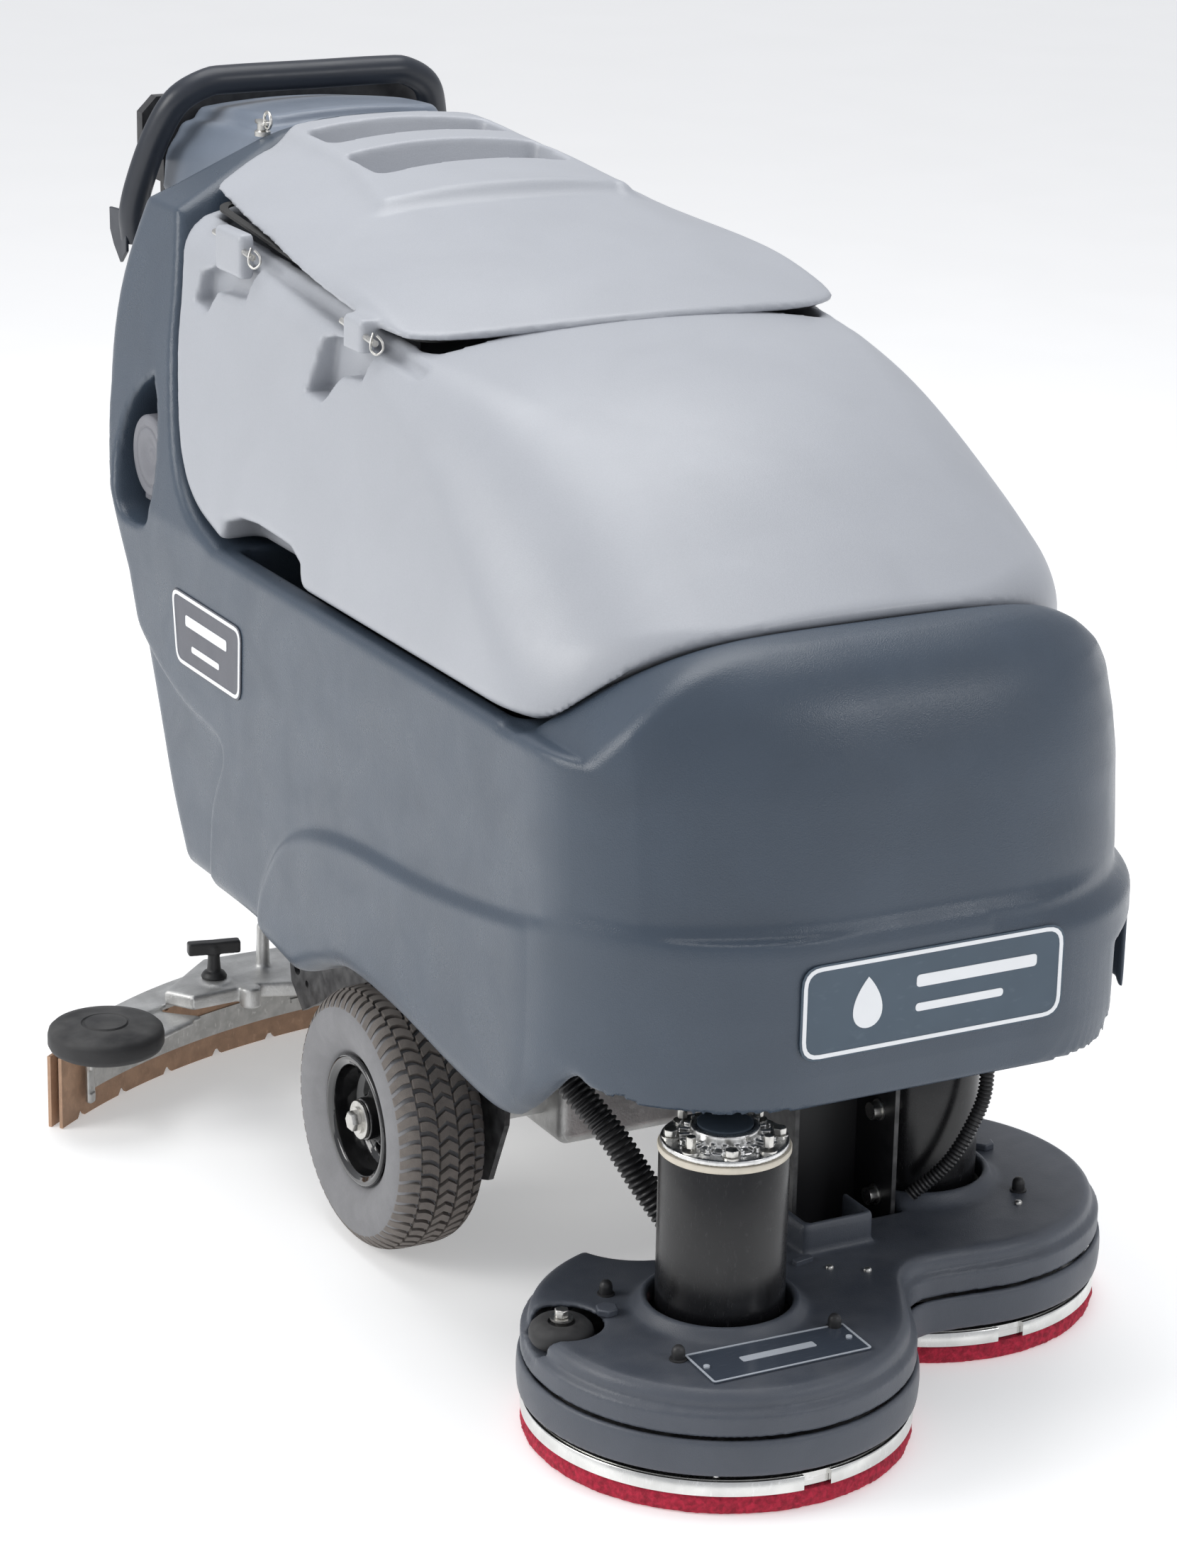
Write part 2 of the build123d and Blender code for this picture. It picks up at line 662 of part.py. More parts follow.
def squeegee_casting():
    a = blade_half_angle - 1
    solid = arc_band(blade_arc_r + 4, blade_arc_r + 14, 26, 92, -a, a)
    solid += arc_band(blade_arc_r - 30, blade_arc_r + 48, 92, 100, -24, 24)
    head = polygon((-200, 470), (-150, 438), (150, 438), (200, 470), (300, 452), (318, 482), (214, 552),
                   (-214, 552), (-318, 482), (-300, 452))
    bracket_r = blade_arc_r - 70
    solid += plan_slab(make_face(head), 100, cast_top)
    for side in (-1, 1):
        a0, a1 = sorted((side * 26, side * a))
        solid += arc_band(bracket_r, blade_arc_r + 14, 85, 91, a0, a1)
        solid += rod_z(side * bumper_x, bumper_y, 8, 91, 92.9)
        solid += rod_z(side * bumper_x, bumper_y, 5, 91, 122)
        solid += rod_z(side * 187, 500, 7, cast_top, 168)
        solid -= rod_z(side * knob_pos_xy[0], knob_pos_xy[1], 5 + running, 99, 130)
    return solid - rod_z(*swing_pos, 12 + running, 90, 130)


def t_knob(side):
    x, y = side * knob_pos_xy[0], knob_pos_xy[1]
    stem = rod_z(x, y, 14, cast_top, cast_top + 6) + rod_z(x, y, 9, cast_top + 6, cast_top + 32)
    stem += rod_z(x, y, 5, 101, cast_top)
    bar = Pos(x, y, cast_top + 40) * Rot(0, 0, side * 12) * Box(60, 15, 16)
    return stem + fillet(bar.edges(), 2)


def bumper_wheel(side):
    wheel = turned_z((5 + running, 93), (50, 93), (58, 95), (bumper_r, 99), (bumper_r, 117), (60, 124),
                     (27, 127), (27, 125), (24, 125), (24, 128), (0, 128), (0, 123), (5 + running, 123))
    return Pos(side * bumper_x, bumper_y, 0) * wheel


def squeegee_blade(r0, r1, z0, z1, angle):
    return arc_band(r0, r1, z0, z1, -angle, angle)


def squeegee_arm():
    pivot = rod_x(arm_pivot_y, arm_pivot_z, 8, -52, 52)
    sides = side_slab(polygon((arm_pivot_y - 14, arm_pivot_z + 12), (arm_pivot_y + 16, arm_pivot_z + 14),
                              (swing_pos[1] + 22, cast_top + 22), (swing_pos[1] + 22, cast_top + 4),
                              (swing_pos[1] - 40, cast_top + 4), (swing_pos[1] - 105, cast_top + 50),
                              (arm_pivot_y - 14, arm_pivot_z - 14)), -32, 32)
    between = polygon((arm_pivot_y - 30, arm_pivot_z - 30), (arm_pivot_y - 30, arm_pivot_z + 40),
                      (swing_pos[1] - 30, cast_top + 44), (swing_pos[1] - 30, cast_top - 20))
    sides -= side_slab(between, -26, 26)
    return pivot + sides + rod_z(*swing_pos, 12, 92, cast_top + 6)


def strap_latch():
    angle = -35.0
    r = blade_arc_r - 9
    x = r * sin(radians(angle))
    y = blade_arc_y + r * cos(radians(angle))
    lever = Box(13, 5, 46)
    return Pos(x, y, 44) * Rot(0, 0, -angle) * lever


def blade_strap():
    return arc_band(blade_arc_r - 1.5, blade_arc_r, 26, 56, -34, 36)


def suction_hose():
    path = Spline((0, 522, cast_top + 8), (0, 560, 220), (0, 620, 330), (0, 672, 520), (0, 712, 700),
                  (0, 724, 800), (0, 707, 880))
    return tube_along(path, 22)


# ---------------------------------------------------------------- inside
def batteries():
    cells = []
    for x in (-182, 12):
        for y in (-225, 45):
            case = fillet(block(x, x + 170, y, y + 255, 305, 560).edges().filter_by(Axis.Z), 8)
            posts = rod_z(x + 40, y + 60, 8, 560, 572) + rod_z(x + 130, y + 60, 8, 560, 572)
            cells.append(case + posts)
    return cells


def vacuum_motor():
    return rod_z(0, 594, 44, 800, 900) + rod_z(0, 594, 34, 900, 940) + block(-190, 190, 560, 625, 794, 800)


def label_plates():
    front = front_slab(polygon((-143, 397), (-143, 490), (143, 490), (143, 397)), -600.5, -599.2)
    side = side_slab(polygon((262, 516), (438, 516), (438, 600), (262, 600)), -side_x - 1.3, -side_x)
    return front, side


def hanger_ring():
    ring = Pos(-262, 576, 572) * Rot(0, 90, 0) * Torus(17, 2)
    return ring + block(-265, -259, 554, 562, 568, 576)


# ---------------------------------------------------------------- write every node
solution_body = solution_outer()
write("solution_tank", solution_tank(solution_body))
write("filler_cap", filler_cap())
write("recovery_tank", recovery_tank())
write("tank_lid", lid())
write("lid_hinge_pins", *hinge_pins())
write("lid_gasket", lid_gasket())
write("tank_internals", debris_basket(), *float_shutoff())
write("control_cowl", cowl(solution_body))
write("console_panel", console_panel())
write("speed_knob", speed_knob())
write("key_switch", key_switch())
for index, button_x in enumerate(button_xs):
    write(f"push_button_{index + 1}", button(button_x))
write("drive_paddle", drive_paddle())
write("cowl_latch", cowl_latch())
write("handle_frame", handle_frame(solution_body))
write("hanger_ring", hanger_ring())
write("label_plates", *label_plates())

for side, tag in ((-1, "left"), (1, "right")):
    write(f"tyre_{tag}", place_wheel(tyre(), side))
    write(f"rim_{tag}", place_wheel(rim(), side))
    write(f"axle_shaft_{tag}", axle_shaft(side), place_wheel(wheel_nut(), side))
    write(f"caster_fork_{tag}", caster_fork(side * caster_x))
    write(f"caster_wheel_{tag}", caster_wheel(side * caster_x))
    write(f"t_knob_{tag}", t_knob(side))
    write(f"bumper_wheel_{tag}", bumper_wheel(side))

write("transaxle", transaxle())
write("traction_motor", traction_motor())
write("chassis_frame", chassis_frame(), caster_mount(-caster_x), caster_mount(caster_x))

write("deck_cover", deck_cover())
write("deck_skirt", deck_skirt())
write("deck_frame", deck_plate(), lift_channel())
for centre, tag in ((disc_l, "left"), (disc_r, "right")):
    write(f"pad_driver_{tag}", pad_driver(*centre), pad_ring(*centre))
    write(f"scrub_pad_{tag}", pad(*centre))
write("scrub_motors", motor_can(*disc_l), motor_can(*disc_r), motor_ring(*disc_l), motor_ring(*disc_r))
write("motor_caps", motor_cap(*disc_l), motor_cap(*disc_r), *motor_bolts(*disc_l), *motor_bolts(*disc_r))
write("corner_roller", corner_roller())
write("deck_fasteners", *deck_fasteners(), *nameplate_rivets(), *channel_bolts(), roller_bolt())
write("nameplate", nameplate())
write("actuator_rod", actuator_rod())
write("actuator_tube", actuator_tube())
write("deck_hose", deck_hose())
write("motor_conduit", motor_conduit())

write("squeegee_casting", squeegee_casting())
write("blade_front", squeegee_blade(blade_arc_r, blade_arc_r + 4, 1, 84, blade_half_angle))
write("blade_rear", squeegee_blade(blade_arc_r + 14, blade_arc_r + 18, 0, 84, blade_half_angle))
write("blade_strap", blade_strap())
write("strap_latch", strap_latch())
write("squeegee_arm", squeegee_arm())
write("suction_hose", suction_hose())

write("batteries", *batteries())
write("vacuum_motor", vacuum_motor())
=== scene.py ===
import math

import bmesh
import bpy
import numpy as np
import openvdb
from mathutils import Matrix, Vector


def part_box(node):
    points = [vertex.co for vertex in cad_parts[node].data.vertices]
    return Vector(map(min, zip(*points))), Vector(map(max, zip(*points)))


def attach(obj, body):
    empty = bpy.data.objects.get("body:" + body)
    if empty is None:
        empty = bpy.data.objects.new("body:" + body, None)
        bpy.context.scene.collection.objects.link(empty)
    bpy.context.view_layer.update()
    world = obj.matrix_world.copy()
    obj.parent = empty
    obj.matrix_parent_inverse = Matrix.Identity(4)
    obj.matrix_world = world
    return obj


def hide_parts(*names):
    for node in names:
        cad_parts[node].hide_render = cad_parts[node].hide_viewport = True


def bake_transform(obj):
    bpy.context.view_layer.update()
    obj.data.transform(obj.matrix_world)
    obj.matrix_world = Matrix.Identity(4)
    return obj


# Walk-behind floor scrubber: the looks. Shapes are worked out in machine coordinates, in
# millimetres: +Z up, the machine drives towards -Y, and y = 0 is the drive axle. place() takes
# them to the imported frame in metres.
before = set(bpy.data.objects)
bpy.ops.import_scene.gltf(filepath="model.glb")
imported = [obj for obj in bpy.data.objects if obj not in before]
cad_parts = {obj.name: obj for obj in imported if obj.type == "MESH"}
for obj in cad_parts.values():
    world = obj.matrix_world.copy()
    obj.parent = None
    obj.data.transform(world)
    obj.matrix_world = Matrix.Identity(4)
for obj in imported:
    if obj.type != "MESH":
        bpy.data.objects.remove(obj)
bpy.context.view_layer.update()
tyre_low, tyre_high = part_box("tyre_left")
AXLE_Y = (tyre_low.y + tyre_high.y) / 2
MM = 0.001


def place(points):
    """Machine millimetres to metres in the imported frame."""
    out = np.array(points, dtype=np.float64).reshape(-1, 3) * MM
    out[:, 1] += AXLE_Y
    return out


# ---------------------------------------------------------------- main dimensions, mm
SIDE = 318.0            # half width of the body
TAPER = 0.19            # the sides lean in above the seam
SEAM = 667.0            # level seam between the two tanks
CROWN_MID, CROWN_HALF = 771.0, 294.0    # front seam: height in the middle, half width
CORNER_R = 213.0        # front corners of the body, seen from above
NOSE = -599.0           # front of the body
BACK = 700.0
LID_Z, LID_SLOPE = 947.0, 0.102         # lid parting plane
GAP = 3.0
STEP = 9.0              # how far the lower body stands proud of the upper
BOW = 24.0 / 225.0 ** 2                 # crown of the grey tank across the machine
DISC_L, DISC_R = (-165.4, -512.0), (165.4, -332.0)
DECK_TOP = 122.0
WHEEL_X, WHEEL_R, TYRE_W, RIM_R = 264.0, 139.7, 102.0, 62.5
ARC_R, ARC_Y, ARC_HALF = 753.0, -178.0, 38.4        # squeegee arc seen from above


# ---------------------------------------------------------------- shape fields
def axes(low, high, step):
    """Sample positions of a block of space, ready to broadcast together."""
    x, y, z = (np.arange(a, b + step, step, dtype=np.float32) for a, b in zip(low, high))
    return x[:, None, None], y[None, :, None], z[None, None, :]


def through(points, per=8):
    """A smooth line through points."""
    p = np.array(points, float)
    p = np.vstack([2 * p[0] - p[1], p, 2 * p[-1] - p[-2]])
    out = []
    for i in range(1, len(p) - 2):
        for t in np.arange(per) / per:
            a = 2 * p[i] + (p[i + 1] - p[i - 1]) * t
            b = (2 * p[i - 1] - 5 * p[i] + 4 * p[i + 1] - p[i + 2]) * t * t
            c = (3 * p[i] - p[i - 1] - 3 * p[i + 1] + p[i + 2]) * t ** 3
            out.append((a + b + c) / 2)
    return out + [p[-2]]


def outline(points, a, b):
    """Signed distance to a closed outline in the plane of a and b, negative inside."""
    p = np.array(points, np.float32)
    q = np.roll(p, -1, 0)
    shape = np.broadcast(a, b).shape
    best = np.full(shape, 1e9, np.float32)
    inside = np.zeros(shape, bool)
    for (x0, y0), (x1, y1) in zip(p, q):
        ex, ey = x1 - x0, y1 - y0
        wx, wy = a - x0, b - y0
        t = np.clip((wx * ex + wy * ey) / max(ex * ex + ey * ey, 1e-9), 0, 1)
        best = np.minimum(best, (wx - ex * t) ** 2 + (wy - ey * t) ** 2)
        if ey != 0:
            inside ^= ((y0 <= b) != (y1 <= b)) & (a < x0 + wy * ex / ey)
    return np.where(inside, -1, 1) * np.sqrt(best)


def both(a, b, r=0.0):
    """Overlap of two fields, with a rounded edge of radius r, which may vary over space."""
    if np.ndim(r) == 0 and r <= 0:
        return np.maximum(a, b)
    return np.minimum(np.maximum(a, b), -r) + np.hypot(np.maximum(a + r, 0), np.maximum(b + r, 0))


def either(a, b, r=0.0):
    """Two fields joined, with a rounded inner corner."""
    return -both(-a, -b, r)


def less(a, b, r=0.0):
    """a with b cut out, with a rounded edge."""
    return both(a, -b, r)


def cuboid(x, y, z, low, high, r=0.0):
    d = [np.abs(v - (a + b) / 2) - (b - a) / 2 + r for v, a, b in zip((x, y, z), low, high)]
    outer = np.sqrt(sum(np.maximum(k, 0) ** 2 for k in d))
    return outer + np.minimum(np.maximum(np.maximum(d[0], d[1]), d[2]), 0) - r


def ease(a, b, v):
    t = np.clip((v - a) / (b - a), 0, 1)
    return t * t * (3 - 2 * t)


# ---------------------------------------------------------------- meshes
def mesh_object(name, points, faces, smooth=True):
    mesh = bpy.data.meshes.new(name)
    mesh.from_pydata(place(points).tolist(), [], [tuple(f) for f in faces])
    mesh.validate()
    if smooth:
        mesh.shade_smooth()
    obj = bpy.data.objects.new(name, mesh)
    bpy.context.scene.collection.objects.link(obj)
    return obj


def skin(name, field, low, step, relax=2):
    """Mesh the zero level of a field, then even it out slightly."""
    band = 3 * step
    grid = openvdb.FloatGrid(band)
    grid.copyFromArray(np.clip(field, -band, band).astype(np.float32))
    points, _, quads = grid.convertToPolygons(0.0, 0.0)
    points = points.astype(np.float64)
    quads = quads.astype(np.int64)
    edges = np.vstack([quads[:, [i, (i + 1) % 4]] for i in range(4)])
    count = np.bincount(edges.ravel(), minlength=len(points)).astype(float)[:, None]
    for _ in range(relax):
        for share in (0.5, -0.52):
            total = np.zeros_like(points)
            for axis in range(3):
                total[:, axis] = np.bincount(edges[:, 0], points[edges[:, 1], axis], len(points))
                total[:, axis] += np.bincount(edges[:, 1], points[edges[:, 0], axis], len(points))
            points += share * (total / np.maximum(count, 1) - points)
    a, b, c = (points[quads[:, i]] for i in (0, 1, 2))
    if np.sum(a * np.cross(b, c)) < 0:
        quads = quads[:, ::-1]
    return mesh_object(name, points * step + np.array(low), quads.tolist())


def lathe(name, profile, at, axis="Z", turns=96):
    """Turn a closed (radius, along) outline about an axis through at."""
    n = len(profile)
    points = []
    for i in range(turns):
        c, s = math.cos(math.tau * i / turns), math.sin(math.tau * i / turns)
        for r, h in profile:
            if axis == "Z":
                points.append((at[0] + r * c, at[1] + r * s, at[2] + h))
            else:
                points.append((at[0] + h, at[1] + r * c, at[2] + r * s))
    faces = []
    for i in range(turns):
        j = (i + 1) % turns
        faces += [(i * n + k, j * n + k, j * n + (k + 1) % n, i * n + (k + 1) % n) for k in range(n)]
    return finish_mesh(mesh_object(name, points, faces))


def finish_mesh(obj, sharp=40):
    """Weld doubled points, turn the faces outwards and keep hard edges crisp."""
    bm = bmesh.new()
    bm.from_mesh(obj.data)
    bmesh.ops.remove_doubles(bm, verts=bm.verts, dist=2e-6)
    bmesh.ops.dissolve_degenerate(bm, dist=1e-7, edges=bm.edges)
    bmesh.ops.recalc_face_normals(bm, faces=bm.faces)
    bm.to_mesh(obj.data)
    bm.free()
    obj.data.set_sharp_from_angle(angle=math.radians(sharp))
    return obj


def soften(obj, width, segments=2):
    """Small rounded edges on a sheet-metal or machined piece."""
    bevel = obj.modifiers.new("edges", "BEVEL")
    bevel.width = width * MM
    bevel.segments = segments
    bevel.limit_method = "ANGLE"
    bevel.angle_limit = math.radians(35)
    return obj


def prism(name, ring, z0, z1, bevel=0.0):
    """An upright prism on a closed (x, y) outline."""
    n = len(ring)
    points = [(x, y, z0) for x, y in ring] + [(x, y, z1) for x, y in ring]
    faces = [tuple(range(n))[::-1], tuple(range(n, 2 * n))]
    faces += [(i, (i + 1) % n, n + (i + 1) % n, n + i) for i in range(n)]
    obj = finish_mesh(mesh_object(name, points, faces))
    return soften(obj, bevel) if bevel else obj


def join(name, objects):
    """Several loose solids in one piece."""
    bpy.ops.object.select_all(action="DESELECT")
    for obj in objects:
        obj.select_set(True)
    bpy.context.view_layer.objects.active = objects[0]
    for obj in objects:
        if obj.modifiers:
            bpy.context.view_layer.objects.active = obj
            for modifier in list(obj.modifiers):
                bpy.ops.object.modifier_apply(modifier=modifier.name)
    bpy.context.view_layer.objects.active = objects[0]
    bpy.ops.object.join()
    objects[0].name = name
    objects[0].data.name = name
    return objects[0]


def tube(name, points, radius, around=28, rings=None):
    """A round tube through points; rings(i, length) may scale the radius along it."""
    p = np.array(points, float)
    length = np.concatenate([[0], np.cumsum(np.linalg.norm(np.diff(p, axis=0), axis=1))])
    tangent = np.gradient(p, axis=0)
    tangent /= np.linalg.norm(tangent, axis=1)[:, None]
    side = np.cross(tangent[0], (0.3, 0.2, 1.0))
    verts = []
    for i, t in enumerate(tangent):
        side = side - t * np.dot(side, t)
        side /= np.linalg.norm(side)
        up = np.cross(t, side)
        r = radius * (rings(length[i]) if rings else 1)
        for k in range(around):
            a = math.tau * k / around
            verts.append(p[i] + r * (math.cos(a) * side + math.sin(a) * up))
    faces = []
    for i in range(len(p) - 1):
        for k in range(around):
            m = (k + 1) % around
            faces.append((i * around + k, i * around + m, (i + 1) * around + m, (i + 1) * around + k))
    faces.append(tuple(range(around))[::-1])
    faces.append(tuple(range((len(p) - 1) * around, len(p) * around)))
    return finish_mesh(mesh_object(name, verts, faces), 60)


def resample(points, step):
    p = np.array(points, float)
    length = np.concatenate([[0], np.cumsum(np.linalg.norm(np.diff(p, axis=0), axis=1))])
    count = max(2, int(length[-1] / step))
    at = np.linspace(0, length[-1], count)
    return np.stack([np.interp(at, length, p[:, k]) for k in range(3)], 1)


def corrugated(name, points, radius, pitch=5.5, depth=0.16):
    """A ribbed hose through points."""
    path = resample(through(points, 24), pitch / 6)
    return tube(name, path, radius, 28, lambda s: 1 - depth * (0.5 + 0.5 * math.cos(math.tau * s / pitch)) ** 2)


def hexagon(name, at, across, height, chamfer=0.8):
    ring = [(at[0] + across / math.sqrt(3) * math.cos(math.radians(60 * i + 12)),
             at[1] + across / math.sqrt(3) * math.sin(math.radians(60 * i + 12))) for i in range(6)]
    return prism(name, ring, at[2], at[2] + height, chamfer)


# ---------------------------------------------------------------- materials
def material(name, color, rough=0.5, metal=0.0, grain=0.0, grain_size=1.5, mottle=0.06, mottle_size=60.0,
             wear=0.0, wear_color=None, scratch=0.0, coat=0.0, dust=0.0, dust_color=(0.55, 0.54, 0.52)):
    """A procedural finish: colour mottling, moulded or cast grain, rubbed edges, scratches and dust."""
    mat = bpy.data.materials.new(name)
    mat.use_nodes = True
    tree = mat.node_tree
    nodes, links = tree.nodes, tree.links
    shader = nodes["Principled BSDF"]
    shader.inputs["Metallic"].default_value = metal
    shader.inputs["Coat Weight"].default_value = coat
    shader.inputs["Coat Roughness"].default_value = 0.08
    where = nodes.new("ShaderNodeTexCoord").outputs["Object"]

    def noise(size_mm, detail=4.0, distortion=0.0):
        node = nodes.new("ShaderNodeTexNoise")
        node.inputs["Scale"].default_value = 1.0 / (size_mm * MM)
        node.inputs["Detail"].default_value = detail
        node.inputs["Distortion"].default_value = distortion
        links.new(where, node.inputs["Vector"])
        return node.outputs["Fac"]

    def remap(value, low, high, to_low=0.0, to_high=1.0):
        node = nodes.new("ShaderNodeMapRange")
        node.inputs["From Min"].default_value = low
        node.inputs["From Max"].default_value = high
        node.inputs["To Min"].default_value = to_low
        node.inputs["To Max"].default_value = to_high
        links.new(value, node.inputs["Value"])
        return node.outputs["Result"]

    def math_node(kind, a, b):
        node = nodes.new("ShaderNodeMath")
        node.operation = kind
        for socket, value in zip(node.inputs, (a, b)):
            if isinstance(value, (int, float)):
                socket.default_value = value
            else:
                links.new(value, socket)
        return node.outputs[0]

    def mix(factor, a, b):
        node = nodes.new("ShaderNodeMix")
        node.data_type = "RGBA"
        for socket, value in ((node.inputs[0], factor), (node.inputs[6], a), (node.inputs[7], b)):
            if isinstance(value, tuple):
                socket.default_value = (*value, 1.0)
            elif isinstance(value, (int, float)):
                socket.default_value = value
            else:
                links.new(value, socket)
        return node.outputs[2]

    dark = tuple(c * (1 - mottle) for c in color)
    light = tuple(min(1, c * (1 + mottle)) for c in color)
    paint = mix(remap(noise(mottle_size, 5.0, 0.4), 0.35, 0.65), dark, light)
    roughness = remap(noise(mottle_size * 0.7, 6.0, 0.6), 0.3, 0.7, rough - 0.05, rough + 0.06)
    if grain:
        speck = remap(noise(grain_size, 2.0), 0.3, 0.7)
        paint = mix(math_node("MULTIPLY", speck, 0.16), paint, tuple(c * 0.7 for c in color))
    if wear:
        worn = wear_color or tuple(min(1, c * 1.6 + 0.04) for c in color)
        edge = remap(nodes.new("ShaderNodeNewGeometry").outputs["Pointiness"], 0.51, 0.60)
        patchy = math_node("MULTIPLY", edge, remap(noise(14, 5.0), 0.35, 0.7))
        paint = mix(math_node("MULTIPLY", patchy, wear), paint, worn)
    if scratch:
        stretch = nodes.new("ShaderNodeMapping")
        stretch.inputs["Scale"].default_value = (60.0, 900.0, 120.0)
        stretch.inputs["Rotation"].default_value = (0.4, 0.7, 0.5)
        links.new(where, stretch.inputs["Vector"])
        lines = nodes.new("ShaderNodeTexNoise")
        lines.inputs["Scale"].default_value = 1.0
        lines.inputs["Detail"].default_value = 3.0
        links.new(stretch.outputs["Vector"], lines.inputs["Vector"])
        mark = remap(lines.outputs["Fac"], 0.60, 0.72)
        paint = mix(math_node("MULTIPLY", mark, scratch), paint, tuple(min(1, c * 1.5 + 0.05) for c in color))
        roughness = math_node("ADD", roughness, math_node("MULTIPLY", mark, 0.12 * scratch))
    if dust:
        up = nodes.new("ShaderNodeSeparateXYZ")
        links.new(nodes.new("ShaderNodeNewGeometry").outputs["Normal"], up.inputs[0])
        top = math_node("MULTIPLY", remap(up.outputs["Z"], 0.3, 1.0), remap(noise(35, 6.0), 0.35, 0.75))
        paint = mix(math_node("MULTIPLY", top, dust), paint, dust_color)
        roughness = math_node("ADD", roughness, math_node("MULTIPLY", top, 0.25 * dust))
    links.new(paint, shader.inputs["Base Color"])
    links.new(roughness, shader.inputs["Roughness"])
    relief = nodes.new("ShaderNodeBump")
    relief.inputs["Distance"].default_value = 0.001
    relief.inputs["Strength"].default_value = grain if grain else 0.04
    links.new(noise(grain_size if grain else 8.0, 3.0), relief.inputs["Height"])
    links.new(relief.outputs["Normal"], shader.inputs["Normal"])
    return mat


def paint_piece(obj, mat):
    obj.data.materials.clear()
    obj.data.materials.append(mat)
    return obj


def srgb(r, g, b):
    return tuple(((c / 255 + 0.055) / 1.055) ** 2.4 if c > 10 else c / 255 / 12.92 for c in (r, g, b))


BODY_BLUE = material("body_blue", srgb(65, 76, 89), 0.30, grain=0.35, grain_size=1.3, wear=0.06, mottle=0.05,
                     mottle_size=90)
TANK_GREY = material("tank_grey", srgb(168, 171, 177), 0.38, grain=0.14, grain_size=1.6, wear=0.25, mottle=0.02,
                     mottle_size=120)
COWL_BLUE = material("cowl_blue", srgb(112, 121, 134), 0.34, grain=0.12, wear=0.3, mottle=0.04)
DECK_BLUE = material("deck_blue", srgb(74, 79, 88), 0.40, grain=0.3, grain_size=1.2, wear=0.3, mottle=0.06, dust=0.06)
TUBE_NAVY = material("tube_navy", srgb(36, 41, 50), 0.36, wear=0.4, mottle=0.05, grain=0.05, grain_size=2.5)
FRAME_BLACK = material("frame_black", (0.018, 0.018, 0.02), 0.42, grain=0.06, wear=0.5,
                       wear_color=(0.16, 0.16, 0.16), dust=0.12)
MOTOR_BLACK = material("motor_black", (0.006, 0.006, 0.007), 0.26, scratch=0.25, mottle=0.2, dust=0.05)
ZINC = material("zinc", (0.62, 0.61, 0.58), 0.30, 1.0, mottle=0.12, mottle_size=12, scratch=0.3)
CAST_ALU = material("cast_alu", (0.60, 0.60, 0.59), 0.46, 0.85, grain=0.35, grain_size=2.2, mottle=0.16,
                    mottle_size=30, scratch=0.3, dust=0.1)
DRIVER_ALU = material("driver_alu", (0.74, 0.74, 0.72), 0.24, 1.0, mottle=0.1, mottle_size=40, scratch=0.4)
SHINY_ALU = material("shiny_alu", (0.70, 0.70, 0.69), 0.28, 1.0, mottle=0.15, mottle_size=10, scratch=0.4)
RUBBER = material("soft_black", (0.022, 0.022, 0.023), 0.62, grain=0.15, mottle=0.15, dust=0.12)
KNOB_BLACK = material("knob_black", (0.02, 0.02, 0.021), 0.45, grain=0.15, mottle=0.1, wear=0.5)
CAP_GREY = material("cap_grey", srgb(116, 117, 123), 0.45, grain=0.2, mottle=0.05, wear=0.4)
HOSE_BLACK = material("hose_black", (0.012, 0.012, 0.013), 0.36, mottle=0.2, dust=0.15)
TYRE_SIDE = material("tyre_side", srgb(128, 128, 130), 0.72, grain=0.25, grain_size=1.8, mottle=0.06, mottle_size=25,
                     dust=0.1)
RIM_BLACK = material("rim_black", (0.006, 0.006, 0.0065), 0.10, coat=0.8, mottle=0.2, dust=0.04)
BLADE_TAN = material("blade_tan", srgb(176, 142, 116), 0.62, grain=0.2, mottle=0.14, mottle_size=18, scratch=0.3)
STRAP_STEEL = material("strap_steel", (0.46, 0.46, 0.45), 0.34, 1.0, mottle=0.12, mottle_size=15, scratch=0.6)
LABEL_DARK = material("label_dark", srgb(66, 82, 96), 0.40, mottle=0.05, scratch=0.2)
LABEL_SIDE = material("label_side", srgb(82, 84, 92), 0.42, mottle=0.05, scratch=0.2)
LABEL_WHITE = material("label_white", srgb(236, 238, 240), 0.42, mottle=0.02, scratch=0.1)
CREAM = material("cream_ring", srgb(214, 206, 190), 0.4, mottle=0.06, mottle_size=14)
DISC_BLUE = material("centre_disc", srgb(74, 86, 98), 0.5, grain=0.1, mottle=0.05)
PANEL_BLACK = material("panel_black", (0.02, 0.02, 0.022), 0.45, grain=0.12, mottle=0.08, wear=0.4)
GASKET = material("gasket", (0.03, 0.03, 0.03), 0.8, grain=0.4, grain_size=2.0)
GREEN = material("button_green", (0.03, 0.25, 0.09), 0.3, mottle=0.05)
CLEAR_PLATE = material("clear_plate", srgb(66, 73, 84), 0.16, coat=0.4, mottle=0.04, scratch=0.3)
CLEAR_EDGE = material("clear_edge", srgb(190, 196, 204), 0.15, coat=0.5, mottle=0.04, scratch=0.2)

